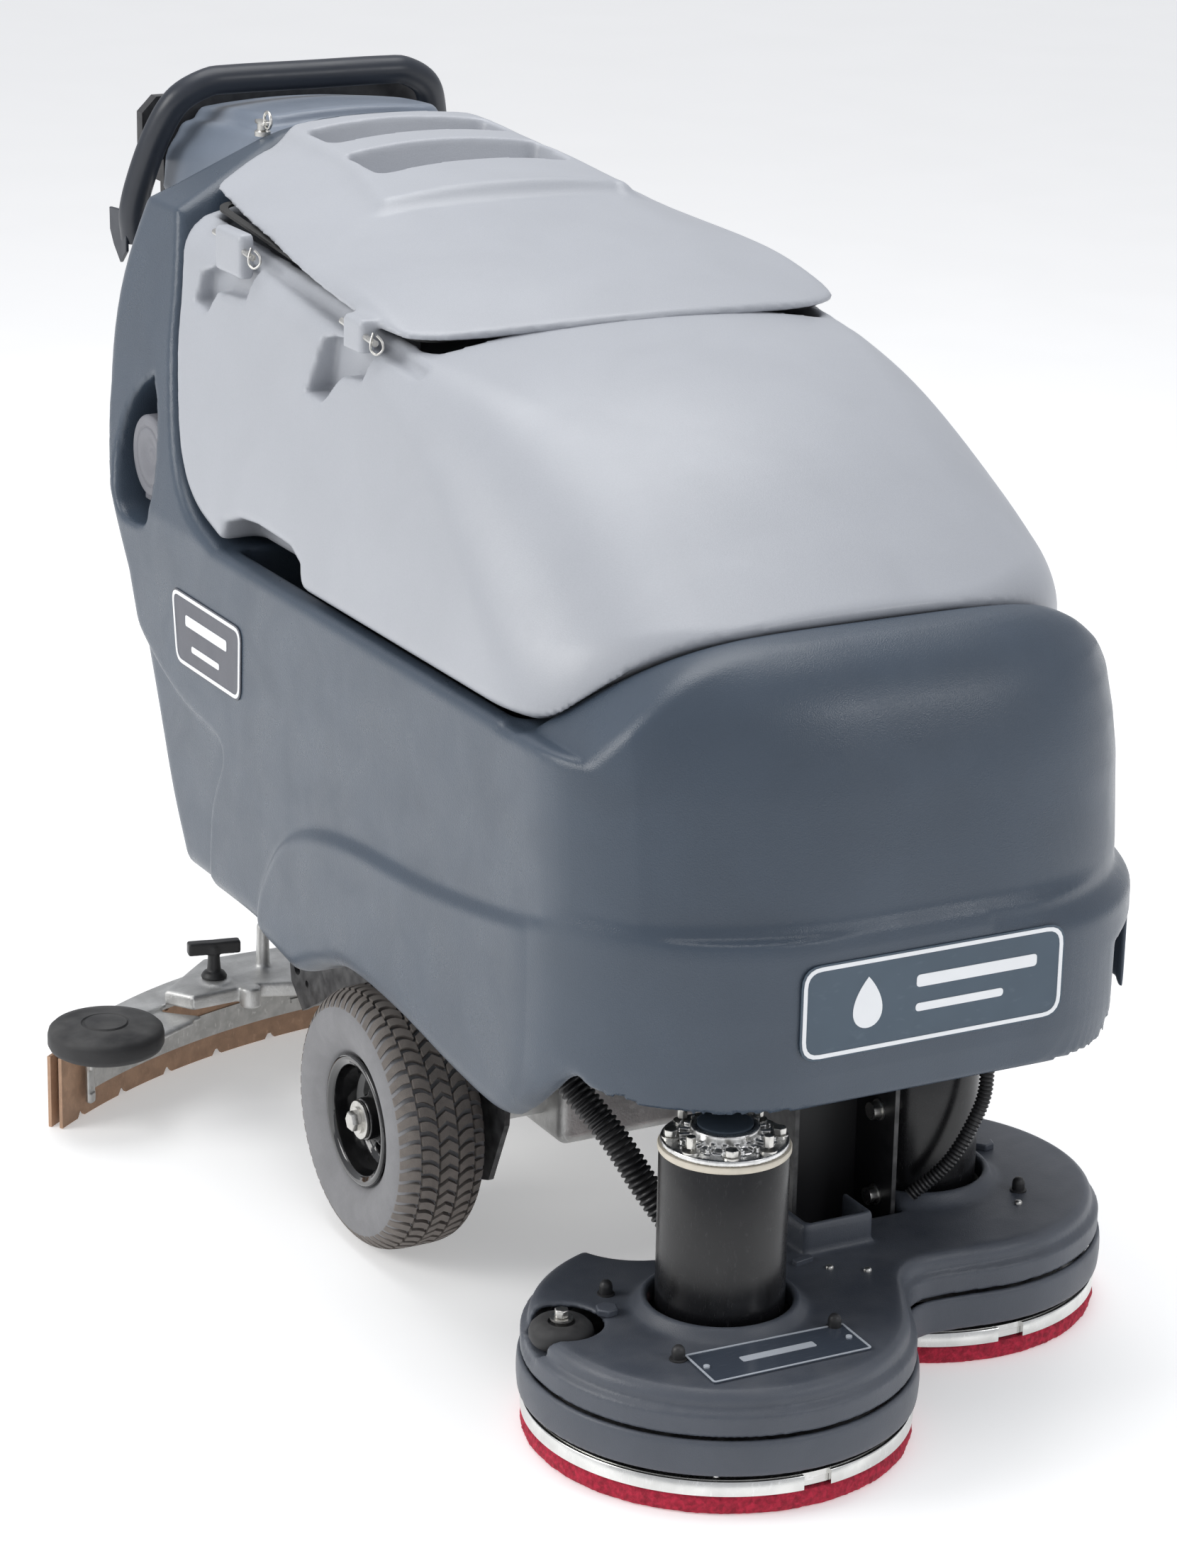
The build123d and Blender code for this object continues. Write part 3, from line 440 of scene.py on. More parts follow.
# ---------------------------------------------------------------- the big mouldings
HOOP_FRONT = through([(331, SEAM), (411, 692), (465, 740), (512, 835), (530, 909), (556, 985), (594, 1050)])
HOOP_BACK = through([(440, 275), (484, 349), (526, 445), (575, 554), (611, 635), (651, 705), (679, 762),
                     (697, 836), (693, 907), (664, 985), (620, 1064)])
BELLY = through([(-530, 340), (-488, 357), (-469, 364), (-431, 334), (-388, 300), (-346, 281), (-255, 286),
                 (-129, 302), (-20, 306), (35, 286), (91, 260), (172, 267), (256, 276), (436, 275)])
NOSE_CURVE = through([(-480, 774), (-508, 764), (-535, 746), (-556, 720), (-568, 690), (-577, 650), (-582, 610),
                      (-587, 560), (-590, 524)])
FENDER = through([(205, 230), (206, 300), (190, 345), (144, 399), (73, 433), (-29, 452), (-190, 464), (-341, 485),
                  (-480, 512), (-590, 517), (-640, 517)])
REAR_CREASE = through([(640, 600), (525, 519), (425, 477), (328, 461), (310, 439), (330, 400), (343, 360),
                       (352, 250)])
POCKET = through([(554, 806), (530, 772), (512, 721), (509, 683), (519, 651), (562, 643), (592, 650), (606, 672),
                  (616, 709), (611, 749), (590, 781), (554, 806)], 5)


def crown(x):
    """Height of the arched front seam, which runs into the level seam at the sides."""
    return np.maximum(CROWN_MID - (CROWN_MID - SEAM) * np.abs(x / CROWN_HALF) ** 4.5, SEAM)


def wrapped(x, y, z, curve_field, r, crease=False):
    """A side-view field whose front is bent round plan corners of radius r, with a crease where the corner starts."""
    inset = np.minimum(np.maximum(np.abs(x) - (SIDE + STEP - r), 0), 0.985 * r)
    drop = r - np.sqrt(r * r - inset ** 2)
    if crease:
        wide = np.clip(np.abs(x) - 60, 0, 300)
        drop = np.maximum(drop, 360 - np.sqrt(360 ** 2 - wide ** 2))
    slope = np.sqrt(1 + (inset / np.sqrt(r * r - inset ** 2)) ** 2)
    ys = y.ravel()
    out = np.empty((x.size, y.size, z.size), np.float32)
    field = curve_field[0]
    step = ys[1] - ys[0]
    for i in range(x.size):
        at = (ys - drop[i, 0, 0] - ys[0]) / step
        low = np.clip(np.floor(at).astype(int), 0, len(ys) - 2)
        part = np.clip(at - low, -60, 60)[:, None]
        out[i] = (field[low] * (1 - part) + field[low + 1] * part) / (1 + (slope[i, 0, 0] - 1) * 0.8)
    return out


def front_view(x, z, half, top, top_half, shoulder):
    """Leaning sides and a crowned top, seen from the front."""
    lean_top = 985.0
    edge = half - TAPER * (lean_top - SEAM)
    arc = [(u, shoulder + (top - shoulder) * (1 - (u / top_half) ** 2)) for u in np.linspace(top_half, -top_half, 13)]
    ring = [(half, 0), (half, SEAM), (edge, lean_top)] + arc + [(-edge, lean_top), (-half, SEAM), (-half, 0)]
    return outline(ring, x, z)


def plan_view(x, y, half, nose, back, r):
    dx = np.abs(x) - half + r
    dy = np.abs(y - (nose + back) / 2) - (back - nose) / 2 + r
    return np.hypot(np.maximum(dx, 0), np.maximum(dy, 0)) + np.minimum(np.maximum(dx, dy), 0) - r


def solution_tank():
    step = 4.0
    low, high = (-340, -616, 244), (340, 736, 1088)
    x, y, z = axes(low, high, step)
    shoulder = [(618, 1064), (611, 1070), (600, 1070), (594, 1062)]
    ring = (BELLY + HOOP_BACK[1:] + shoulder + HOOP_FRONT[::-1] + [(-357, SEAM), (-480, 774), (-700, 774), (-700, 344)])
    side = outline(ring, y, z)
    seam = np.abs(outline(HOOP_FRONT[::-1] + [(-357, SEAM), (-480, 774), (-480, 1300), (900, 1300), (594, 1300)], y, z))
    soft = np.clip(9 + 0.42 * (seam - 12), 9, 30)
    soft = np.minimum(soft, 10 + 0.35 * np.maximum(outline(POCKET, y, z), 0))
    upper = front_view(x, z, SIDE, 1071, 128, 1048)
    lower = np.abs(x) - SIDE - STEP * (1 - 0.9 * ease(0, 60, x) * ease(-120, -330, y))
    proud = outline(FENDER + [(-640, 100), (205, 100)], y, z)
    width = upper + (lower - upper) * ease(8, -10, proud)
    rear_inset = outline(REAR_CREASE + [(740, 250), (740, 600)], y, z)
    width = width + 8 * ease(3, -4, rear_inset)
    body = both(side, width, soft)
    # front: one profile bent round the corners, with the bumper ledge
    nose = outline([(900, 1400), (-480, 1400)] + NOSE_CURVE + [(-598, 511), (-600, 500), (-601, 440),
                                                               (-600, 380), (-595, 340), (-590, 200),
                                                               (900, 200)], y, z)
    nose = np.where(z > 512, wrapped(x, y, z, nose, CORNER_R, True), wrapped(x, y, z, nose, CORNER_R))
    body = both(body, nose, 10)
    lean = np.interp(z, [520, 610, 650, 690, 720, 746, 771], [0, 5, 11, 20, 32, 52, 90]) * ease(-300, -420, y)
    corner = plan_view(x, y, SIDE, -600, 1200, 252) + lean * 0.9 - 18 * ease(504, 474, z)
    body = both(body, np.where(x > 60, corner, -60), 8)
    body = both(body, np.where(y < -330, (z - crown(x)) * 0.92, -60), 9)
    # a shallow scoop over each tyre
    arch = np.hypot(y, (z - WHEEL_R) * 1.02) - WHEEL_R - 22
    body = less(body, both(arch, 196 - np.abs(x), 16), 22)
    # filler pocket on the left side
    pocket = both(outline(POCKET, y, z), np.abs(x + 330) - 84, 14)
    body = less(body, pocket, 6)
    # open spaces: battery bay, deck bay, frame bay
    body = less(body, cuboid(x, y, z, (-290, -330, 315), (290, 325, 760), 20), 5)
    bay = both(wrapped(x, y - 12, z, outline([(-590, 200), (-590, 442), (-262, 442), (-262, 200)], y, z), CORNER_R),
               np.abs(x) - 296, 20)
    body = less(body, bay, 8)
    body = less(body, cuboid(x, y, z, (-206, -300, 200), (206, 430, 290), 5), 4)
    obj = skin("solution_tank_shell", body, low, step)
    return finish_big(obj, BODY_BLUE, "chassis", "body_blue", "solution_tank")


def finish_big(obj, mat, body, slot, *nodes):
    paint_piece(obj, mat)
    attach(obj, body)
    if nodes:
        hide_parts(*nodes)
    return obj


SWEEP = through([(-640, 640), (-575, 690), (-540, 740), (-482, 772), (-398, 826), (-293, 888), (-158, 938), (-8, 962),
                 (150, 980), (420, 1000), (700, 1020)])


def height_field(curve, y, z, drop):
    """Distance over a long curve drawn as height against y, lowered by drop across the machine."""
    ys, zs = np.array(curve).T
    top = np.interp(y.ravel(), ys, zs).reshape(y.shape)
    slope = np.gradient(top.ravel(), y.ravel()).reshape(y.shape)
    return (z + drop - top) / np.sqrt(1 + slope ** 2)


def recovery_tank():
    step = 4.0
    low, high = (-332, -590, 656), (332, 572, 1012)
    x, y, z = axes(low, high, step)
    drop = BOW * np.minimum(np.abs(x), SIDE) ** 2
    sides = np.abs(x) - SIDE + TAPER * (z - SEAM) * 0.98
    top = height_field(SWEEP, y, z, drop)
    solid = both(sides, top, 30 + 100 * ease(90, -400, y))
    parting = LID_Z + LID_SLOPE * y
    solid = both(solid, np.where(y > -10, z - parting + 4, -40), 10)
    # side gutter under the lid's edge, left and right
    gutter = both(both(parting - 24 - z, 240 - np.abs(x), 4), -30 - y, 10)
    solid = less(solid, gutter, 4)
    hoop = outline(HOOP_FRONT[::-1] + [(-700, SEAM), (-700, 1300), (594, 1300)], y, z)
    solid = both(solid, hoop + GAP + 3, 16)
    solid = both(solid, plan_view(x, y, SIDE, -486, 900, 202 + 56 * ease(0, 60, x)), 22)
    # lower edge over the level seam and the arched front seam
    floor = np.where(y < -300, np.minimum(crown(x), np.maximum(SEAM, SEAM - (y + 357) * 0.845)), SEAM)
    solid = both(solid, floor + GAP + 1 - z, 8)
    # pockets for the lid's hinge arms in the left edge, each with a slanted wedge behind it
    for pocket in (((55, 1000), (55, 904), (104, 898), (136, 866), (176, 868), (158, 926), (114, 934), (114, 1000)),
                   ((350, 1010), (350, 928), (424, 922), (440, 897), (476, 902), (470, 934), (433, 948), (433, 1010))):
        recess = outline(list(pocket), y, z)
        solid = less(solid, both(recess, x + 250, 3), 3)
    # finger grip in the lower left edge
    grip = outline([(112, 640), (133, 699), (159, 711), (240, 714), (286, 710), (323, 697), (340, 640)], y, z)
    solid = less(solid, both(grip, x + 262, 8), 9)
    cavity = both(both(solid + 12, 700 - z, 20), np.abs(x) - 226, 20)
    mouth = cuboid(x, y, z, (-226, -4, 880), (226, 536, 1100), 24)
    mouth = both(mouth, hoop + GAP + 17, 16)
    solid = less(solid, np.minimum(cavity, mouth), 3)
    obj = skin("recovery_tank_shell", solid, low, step)
    return finish_big(obj, TANK_GREY, "recovery_tank", "tank_grey", "recovery_tank")


LID_TOP = through([(-60, 955), (-14, 968), (60, 990), (150, 1012), (290, 1034), (430, 1046), (600, 1052), (700, 1054)])


def tank_lid():
    step = 3.5
    low, high = (-290, -44, 930), (290, 612, 1078)
    x, y, z = axes(low, high, step)
    bow = 30 * (1 - (x / 250) ** 2)
    half = SIDE - TAPER * (z - SEAM) - 1
    sides = np.abs(x) - half
    shoulder = 0.000165 * x ** 2 + 34 * ease(120, 262, np.abs(x)) * ease(40, 380, y)
    top = height_field(LID_TOP, y, z, shoulder + 10 * (x / 230) ** 2)
    solid = both(sides, top, 22)
    front = -(y + 2 + np.clip(bow, 0, 40))
    corner = (np.abs(x) - 236) * 0.75 - (y + 6) * 0.66
    solid = both(solid, both(front, corner, 26), 12)
    hoop = outline(HOOP_FRONT[::-1] + [(-700, SEAM), (-700, 1300), (594, 1300)], y, z)
    solid = both(solid, hoop + GAP + 2, 12)
    # raised frame around two cups
    frame_top = height_field(through([(200, 1049), (290, 1049), (400, 1062), (588, 1072), (700, 1074)]), y, z,
                             0.0006 * x ** 2)
    rim = outline(through([(-136, 296), (-128, 284), (-60, 276), (0, 273), (60, 276), (128, 284), (136, 296),
                           (130, 440), (124, 600), (0, 612), (-124, 600), (-130, 440), (-136, 296)], 5), x, y)
    frame_block = both(frame_top, rim + 0.9 * (z - 1042), 5)
    frame_block = both(frame_block, hoop + GAP + 3, 6)
    solid = either(solid, frame_block, 7)
    under = z * 0 + (LID_Z + LID_SLOPE * y + 1) - z + 10 * ease(20, -30, y) * (1 - (x / 250) ** 2)
    solid = both(solid, under, 10)
    for y0, y1, w in ((358, 442, 116), (490, 556, 108)):
        sag = 12 * (x / w) ** 2
        cup = both(np.abs(x) - w, np.abs(y - (y0 + y1) / 2 + sag * 0.6) - (y1 - y0) / 2, 14)
        floor = 1014 + (y - y0) * 0.05 - z
        cup = both(cup + 0.22 * (1056 - z), floor, 9)
        solid = less(solid, cup, 3)
    hollow = both(solid + 9, np.abs(x) - 222, 8)
    solid = less(solid, both(hollow, z - 1010, 6), 2)
    for y0, y1 in ((60, 103), (356, 423)):
        edge_z = LID_Z + LID_SLOPE * (y0 + y1) / 2
        arm = cuboid(x, y, z, (-273, y0, edge_z - 40), (-255, y1, edge_z + 8), 5)
        solid = either(solid, arm, 8)
    obj = skin("tank_lid_shell", solid, low, step)
    return finish_big(obj, TANK_GREY, "tank_lid", "tank_grey", "tank_lid")


def control_cowl():
    step = 3.5
    low, high = (-172, 576, 924), (172, 868, 1086)
    x, y, z = axes(low, high, step)
    top = height_field(through([(560, 1062), (640, 1068), (740, 1064), (851, 1050), (900, 1044)]), y, z,
                       0.0006 * x ** 2)
    sides = np.abs(x) - 152 + 0.10 * (z - 985)
    base = both(sides, top + 20, 30)
    for inset, rise in ((14, 12), (34, 0)):
        tier = both(both(sides + inset, 610 + inset * 1.2 - y, 26), top + rise, 9)
        base = either(base, tier, 7)
    solid = both(base, y - 850, 6)
    solid = both(solid, 944 + 0.5 * np.maximum(700 - y, 0) - z, 14)
    inner = both(solid + 7, 640 - y, 4)
    solid = less(solid, inner, 2)
    obj = skin("control_cowl_shell", solid, low, step)
    return finish_big(obj, COWL_BLUE, "chassis", "cowl_blue", "control_cowl")


# ---------------------------------------------------------------- scrub deck
def lobes(x, y):
    """Outline of the two discs with their rounded waist, seen from above."""
    left = np.hypot(x - DISC_L[0], y - DISC_L[1]) - 190
    right = np.hypot(x - DISC_R[0], y - DISC_R[1]) - 190
    along = np.array(DISC_R) - np.array(DISC_L)
    along /= np.linalg.norm(along)
    u = x * along[0] + (y + 422) * along[1]
    v = -x * along[1] + (y + 422) * along[0]
    bridge = np.maximum(np.abs(u) - 150, np.abs(v) - 95)
    return less(either(either(left, right, 55), bridge, 55), np.hypot(x + 150, y + 318) - 62, 14)


def deck_cover():
    step = 3.0
    low, high = (-372, -714, 70), (372, -132, 166)
    x, y, z = axes(low, high, step)
    plan = lobes(x, y)
    ledge = 8 * ease(100, 106, z)
    solid = both(plan + 2 + ledge * 0.9, z - DECK_TOP, 13)
    shell = less(solid, both(plan + 16, z - DECK_TOP + 6, 8), 2)
    shell = both(shell, 79 - z, 2)
    for cx, cy in (DISC_L, DISC_R):
        r = np.hypot(x - cx, y - cy)
        swell = both(r - 82, z - DECK_TOP - 13 + np.maximum(r - 74, 0) * 0.9, 9)
        shell = either(shell, both(swell, DECK_TOP - 8 - z), 10)
        shell = less(shell, both(r - 68.5, 60 - z), 5)
    box_outer = cuboid(x, y, z, (-38, -453, 112), (42, -398, 155), 5)
    shell = either(shell, box_outer, 6)
    shell = less(shell, cuboid(x, y, z, (-31, -447, 118), (35, -390, 180), 3), 2)
    roller = np.hypot(x + 315, y + 476)
    shell = less(shell, both(roller - 37, 92 - z, 4), 8)
    pocket_floor = both(both(roller - 40, plan + 5, 3), np.abs(z - 94) - 4, 2)
    shell = either(shell, pocket_floor, 2)
    shell = less(shell, cuboid(x, y, z, (-27, -402, 60), (108, -300, 180), 2), 2)
    obj = skin("deck_cover_shell", shell, low, step)
    return finish_big(obj, DECK_BLUE, "deck", "deck_blue", "deck_cover")


def deck_skirt():
    step = 3.0
    low, high = (-372, -714, 34), (372, -132, 84)
    x, y, z = axes(low, high, step)
    plan = lobes(x, y)
    bulge = 1.5 * np.cos((z - 60) / 12)
    wall = both(plan - bulge, -(plan + 6), 2)
    wall = both(wall, np.abs(z - 58.5) - 18.5, 3)
    obj = skin("deck_skirt_band", wall, low, step)
    return finish_big(obj, DECK_BLUE, "deck", "deck_blue", "deck_skirt")


def motors():
    for tag, (cx, cy) in (("left", DISC_L), ("right", DISC_R)):
        can = lathe(f"motor_can_{tag}", [(0, 72), (61, 72), (61.7, 74), (61.7, 282), (60.5, 284), (0, 284)],
                    (cx, cy, 0))
        finish_big(can, MOTOR_BLACK, "deck", "motor_black", *(["scrub_motors"] if tag == "left" else []))
        ring = lathe(f"motor_ring_{tag}", [(50, 284), (62.4, 284), (63, 285), (63, 289), (62.4, 290), (50, 290)],
                     (cx, cy, 0))
        finish_big(ring, CREAM, "deck", "motor_black")
        finish_big(motor_cap(tag, cx, cy), SHINY_ALU, "deck", "cast_alu", *(["motor_caps"] if tag == "left" else []))
        disc = lathe(f"motor_badge_{tag}", [(0, 307), (25, 307), (26.5, 308), (26.5, 310.5), (25, 311.4), (0, 311.8)],
                     (cx, cy, 0))
        finish_big(disc, DISC_BLUE, "deck", "cast_alu")
        bolts = []
        for i in range(8):
            a = math.radians(45 * i + 22)
            px, py = cx + 51 * math.cos(a), cy + 51 * math.sin(a)
            bolts.append(hexagon("bolt", (px, py, 297.5 if i % 2 else 300), 12 if i % 2 else 9, 7 if i % 2 else 12))
            bolts.append(lathe("washer", [(0, 295), (8.5, 295), (8.5, 297.6), (0, 297.6)], (px, py, 0), turns=24))
        finish_big(join(f"motor_cap_bolts_{tag}", bolts), ZINC, "deck", "zinc")


def motor_cap(tag, cx, cy):
    step = 1.2
    low, high = (cx - 64, cy - 64, 286), (cx + 64, cy + 64, 314)
    x, y, z = axes(low, high, step)
    r, a = np.hypot(x - cx, y - cy), np.arctan2(y - cy, x - cx)
    solid = both(r - 60.5, z - 296 + 0 * r, 1.5)
    boss = both(r - 33, z - 309, 2)
    solid = either(solid, boss, 4)
    solid = less(solid, both(r - 27.5, 306 - z, 1), 1)
    teeth = np.abs(np.sin(a * 9)) * r / 9 - 2.4
    ribs = both(both(teeth, np.abs(r - 39) - 9, 1), z - 301, 1)
    solid = either(solid, ribs, 1.2)
    groove = both(np.abs(r - 45) - 1.2, 294 - z, 0.5)
    solid = less(solid, groove, 0.6)
    solid = both(solid, 290 - z, 0.5)
    return skin(f"motor_end_{tag}", solid, low, step, 1)


def hash_noise(points, size, seed):
    """Smooth repeatable noise between -1 and 1, as a sum of sines."""
    rng = np.random.default_rng(seed)
    p = np.asarray(points) / size
    total = np.zeros(len(p))
    for _ in range(14):
        k = rng.normal(size=3) * 2.2
        total += np.sin(p @ k + rng.uniform(0, math.tau))
    return total / 5.3


def pads():
    pad_mat = material("pad_red", srgb(170, 34, 58), 0.9, grain=1.0, grain_size=1.6, mottle=0.35, mottle_size=5)
    for tag, (cx, cy) in (("left", DISC_L), ("right", DISC_R)):
        profile = [(42, 0.6), (100, 0.4), (160, 0.3), (180, 0.5), (185, 1.5), (186.6, 4), (187, 8), (187, 12),
                   (186.4, 16), (184.6, 19), (180, 19.8), (100, 19.8), (42, 19.8)]
        obj = lathe(f"scrub_pad_fibre_{tag}", profile, (cx, cy, 0), turns=720)
        co = np.zeros(len(obj.data.vertices) * 3)
        obj.data.vertices.foreach_get("co", co)
        co = co.reshape(-1, 3)
        mm = co / MM
        centre = place([(cx, cy, 0)])[0]
        radial = co[:, :2] - centre[:2]
        r = np.linalg.norm(radial, axis=1)
        edge = np.clip((r / MM - 176) / 10, 0, 1)
        shift = edge * (hash_noise(mm, 3.2, 5) * 0.55 + hash_noise(mm, 12, 6) * 0.7) - edge * 0.6
        co[:, :2] += radial / r[:, None] * (shift * MM)[:, None]
        co[:, 2] += np.where(co[:, 2] > 2 * MM, edge * hash_noise(mm, 4, 7) * 0.35 * MM, 0)
        obj.data.vertices.foreach_set("co", co.ravel())
        finish_big(obj, pad_mat, f"scrub_head_{tag}", "pad_red", f"scrub_pad_{tag}")
        finish_big(pad_driver(tag, cx, cy), DRIVER_ALU, f"scrub_head_{tag}", "driver_alu", f"pad_driver_{tag}")


def pad_driver(tag, cx, cy):
    """Disc, bright rim with one gap, and rivets."""
    parts = [lathe("disc", [(34, 28), (182, 28), (183, 29), (183, 35), (178, 36), (60, 36), (36, 58), (0, 58), (0, 50),
                            (34, 50)], (cx, cy, 0), turns=180)]
    gap = 4.4
    front = -90.0
    verts, faces = [], []
    section = [(187.2, 20.2), (187.2, 33.5), (186.4, 34.5), (183.6, 34.5), (183.0, 33.5), (183.0, 20.2)]
    n = len(section)
    turns = 260
    for i in range(turns + 1):
        a = math.radians(front + gap + (360 - 2 * gap) * i / turns)
        verts += [(cx + r * math.cos(a), cy + r * math.sin(a), h) for r, h in section]
    for i in range(turns):
        faces += [(i * n + k, (i + 1) * n + k, (i + 1) * n + (k + 1) % n, i * n + (k + 1) % n) for k in range(n)]
    faces += [tuple(range(n)), tuple(range(turns * n, turns * n + n))[::-1]]
    parts.append(finish_mesh(mesh_object("rim_band", verts, faces)))
    inner = lathe("inner_band", [(180, 22), (182.6, 22), (182.6, 30), (180, 30)], (cx, cy, 0), turns=180)
    parts.append(inner)
    for i in range(6):
        a = math.radians(front + 30 + 60 * i)
        at = (cx + 177 * math.cos(a), cy + 177 * math.sin(a), 0)
        parts.append(lathe("rivet", [(0, 36), (3.4, 36), (3.2, 38), (2.2, 39.4), (0, 39.8)], at, turns=20))
    return join(f"pad_driver_{tag}_ring", parts)


def deck_details():
    domes = []
    for x, y in ((-250, -443), (-256, -594), (-92, -600), (240, -411), (92, -250), (250, -250)):
        domes.append(lathe("dome", [(0, 122), (8.5, 122), (8.5, 123.4), (6.4, 124), (6.4, 130), (5.6, 133.4), (3.6, 135.8),
                                    (0, 136.6)], (x, y, 0), turns=28))
    finish_big(join("dome_nuts", domes), KNOB_BLACK, "deck", "frame_black", "deck_fasteners")
    bosses = [hexagon("boss", (x, y, 121.5), 20, 7.5, 1.5) for x, y in ((-269, -480), (268, -304))]
    bosses.append(prism("lug", [(-56, -470), (-34, -466), (-34, -458), (-56, -462)], 121, 127, 1))
    finish_big(join("deck_bosses", bosses), DECK_BLUE, "deck", "deck_blue")
    screws = [lathe("screw", [(0, 122), (4.2, 122), (4.0, 124), (2.6, 125.4), (0, 125.8)], (x, y, 0), turns=24)
              for x, y in ((2, -507), (222, -438), (-28, -486))]
    bolt_at = (-315, -476)
    screws.append(lathe("washer", [(0, 124.2), (11, 124.2), (11, 126.4), (0, 126.4)], (*bolt_at, 0), turns=36))
    screws.append(hexagon("roller_bolt", (*bolt_at, 126.4), 12.5, 8, 1))
    screws.append(lathe("roller_post", [(0, 90), (5.8, 90), (5.8, 126), (0, 126)], (*bolt_at, 0), turns=28))
    for y, z in ((-372, 222), (-372, 130)):
        screws.append(lathe("channel_bolt", [(0, -11), (9, -11), (9, -2), (11, -2), (11, 0), (0, 0)], (94.8, y, z), "X", 36))
        screws.append(lathe("channel_nut", [(0, 0), (9, 0), (8.6, 9), (6, 14), (0, 15)], (100.2, y, z), "X", 36))
    finish_big(join("deck_screws", screws), ZINC, "deck", "zinc")
    rubber = lathe("corner_roller_tyre", [(6.1, 100.6), (22, 100), (28, 102), (30.6, 107), (31, 112), (29.4, 117),
                                          (25, 121.4), (18, 123.2), (13, 122), (12, 118), (6.1, 118)], (*bolt_at, 0))
    finish_big(rubber, RUBBER, "corner_roller", "soft_black", "corner_roller")


def plate_ring(corners, radius, per=6):
    """A closed outline with rounded corners, in any plane."""
    p = [np.array(c, float) for c in corners]
    out = []
    for i, c in enumerate(p):
        a, b = p[i - 1] - c, p[(i + 1) % len(p)] - c
        a, b = a / np.linalg.norm(a), b / np.linalg.norm(b)
        for t in np.linspace(0, 1, per):
            start, end = c + a * radius, c + b * radius
            out.append((1 - t) ** 2 * start + 2 * t * (1 - t) * c + t * t * end)
    return out


def slab(name, ring, normal, thickness, bevel=0.0):
    """A thin plate on a closed ring of 3-D points."""
    n = len(ring)
    lift = np.array(normal, float) * thickness
    points = list(ring) + [p + lift for p in ring]
    faces = [tuple(range(n))[::-1], tuple(range(n, 2 * n))]
    faces += [(i, (i + 1) % n, n + (i + 1) % n, n + i) for i in range(n)]
    obj = finish_mesh(mesh_object(name, points, faces))
    return soften(obj, bevel) if bevel else obj


def frame_band(name, corners, radius, inset, normal, thickness):
    """A thin border that follows the outline of a plate."""
    outer = plate_ring(corners, radius)
    centre = sum(np.array(c, float) for c in corners) / len(corners)
    inner_corners = []
    p = [np.array(c, float) for c in corners]
    for i, c in enumerate(p):
        a, b = p[i - 1] - c, p[(i + 1) % len(p)] - c
        a, b = a / np.linalg.norm(a), b / np.linalg.norm(b)
        inner_corners.append(c + (a + b) * inset)
    inner = plate_ring(inner_corners, max(radius - inset, 1))
    n = len(outer)
    lift = np.array(normal, float) * thickness
    points = outer + inner + [q + lift for q in outer] + [q + lift for q in inner]
    faces = []
    for i in range(n):
        j = (i + 1) % n
        faces += [(i, j, n + j, n + i), (2 * n + i, 3 * n + i, 3 * n + j, 2 * n + j),
                  (i, 2 * n + i, 2 * n + j, j), (n + i, n + j, 3 * n + j, 3 * n + i)]
    return finish_mesh(mesh_object(name, points, faces))


def labels():
    """Rounded labels with a pale border and plain bars where a maker would print."""
    y = -601.0
    corners = [(-143, y, 397), (143, y, 397), (143, y, 490), (-143, y, 490)]
    out = (0, -1, 0)
    face = slab("front_label", plate_ring(corners, 20), out, 0.8)
    finish_big(face, LABEL_DARK, "chassis", "label_dark", "label_plates")
    white = [frame_band("border", [(x * 0.985, y - 0.8, 443.5 + (z - 443.5) * 0.96) for x, _, z in corners], 19, 4, out, 0.5)]
    for x0, x1, z0, z1 in ((-20, 112, 452, 464), (-20, 76, 428, 436)):
        white.append(slab("bar", plate_ring([(x0, y - 0.8, z0), (x1, y - 0.8, z0), (x1, y - 0.8, z1), (x0, y - 0.8, z1)], 4),
                          out, 0.5))
    drop = [(-72 + 20 * math.sin(t) * math.sin(t / 2) ** 0.9, y - 0.8, 446 - 25 * math.cos(t))
            for t in np.linspace(0.02, math.tau - 0.02, 40)]
    white.append(slab("drop", [np.array((-144 - p[0], p[1], 892 - p[2])) for p in drop], out, 0.5))
    finish_big(join("front_label_print", white), LABEL_WHITE, "chassis", "label_dark")

    x = -SIDE - 0.6
    corners = [(x, 255, 519), (x, 252, 601), (x, 440, 601), (x, 428, 519)]
    out = (-1, 0, 0)
    face = slab("side_label", plate_ring(corners, 16), out, 0.8)
    finish_big(face, LABEL_SIDE, "chassis", "label_dark")
    white = [frame_band("border", [(x - 0.8, 344 + (b - 344) * 0.975, 560 + (c - 560) * 0.96) for _, b, c in corners], 15, 4,
                        out, 0.5)]
    for y0, y1, z0, z1 in ((290, 400, 566, 578), (310, 384, 540, 547)):
        white.append(slab("bar", plate_ring([(x - 0.8, y0, z0), (x - 0.8, y0, z1), (x - 0.8, y1, z1), (x - 0.8, y1, z0)], 3),
                          out, 0.5))
    finish_big(join("side_label_print", white), LABEL_WHITE, "chassis", "label_dark")


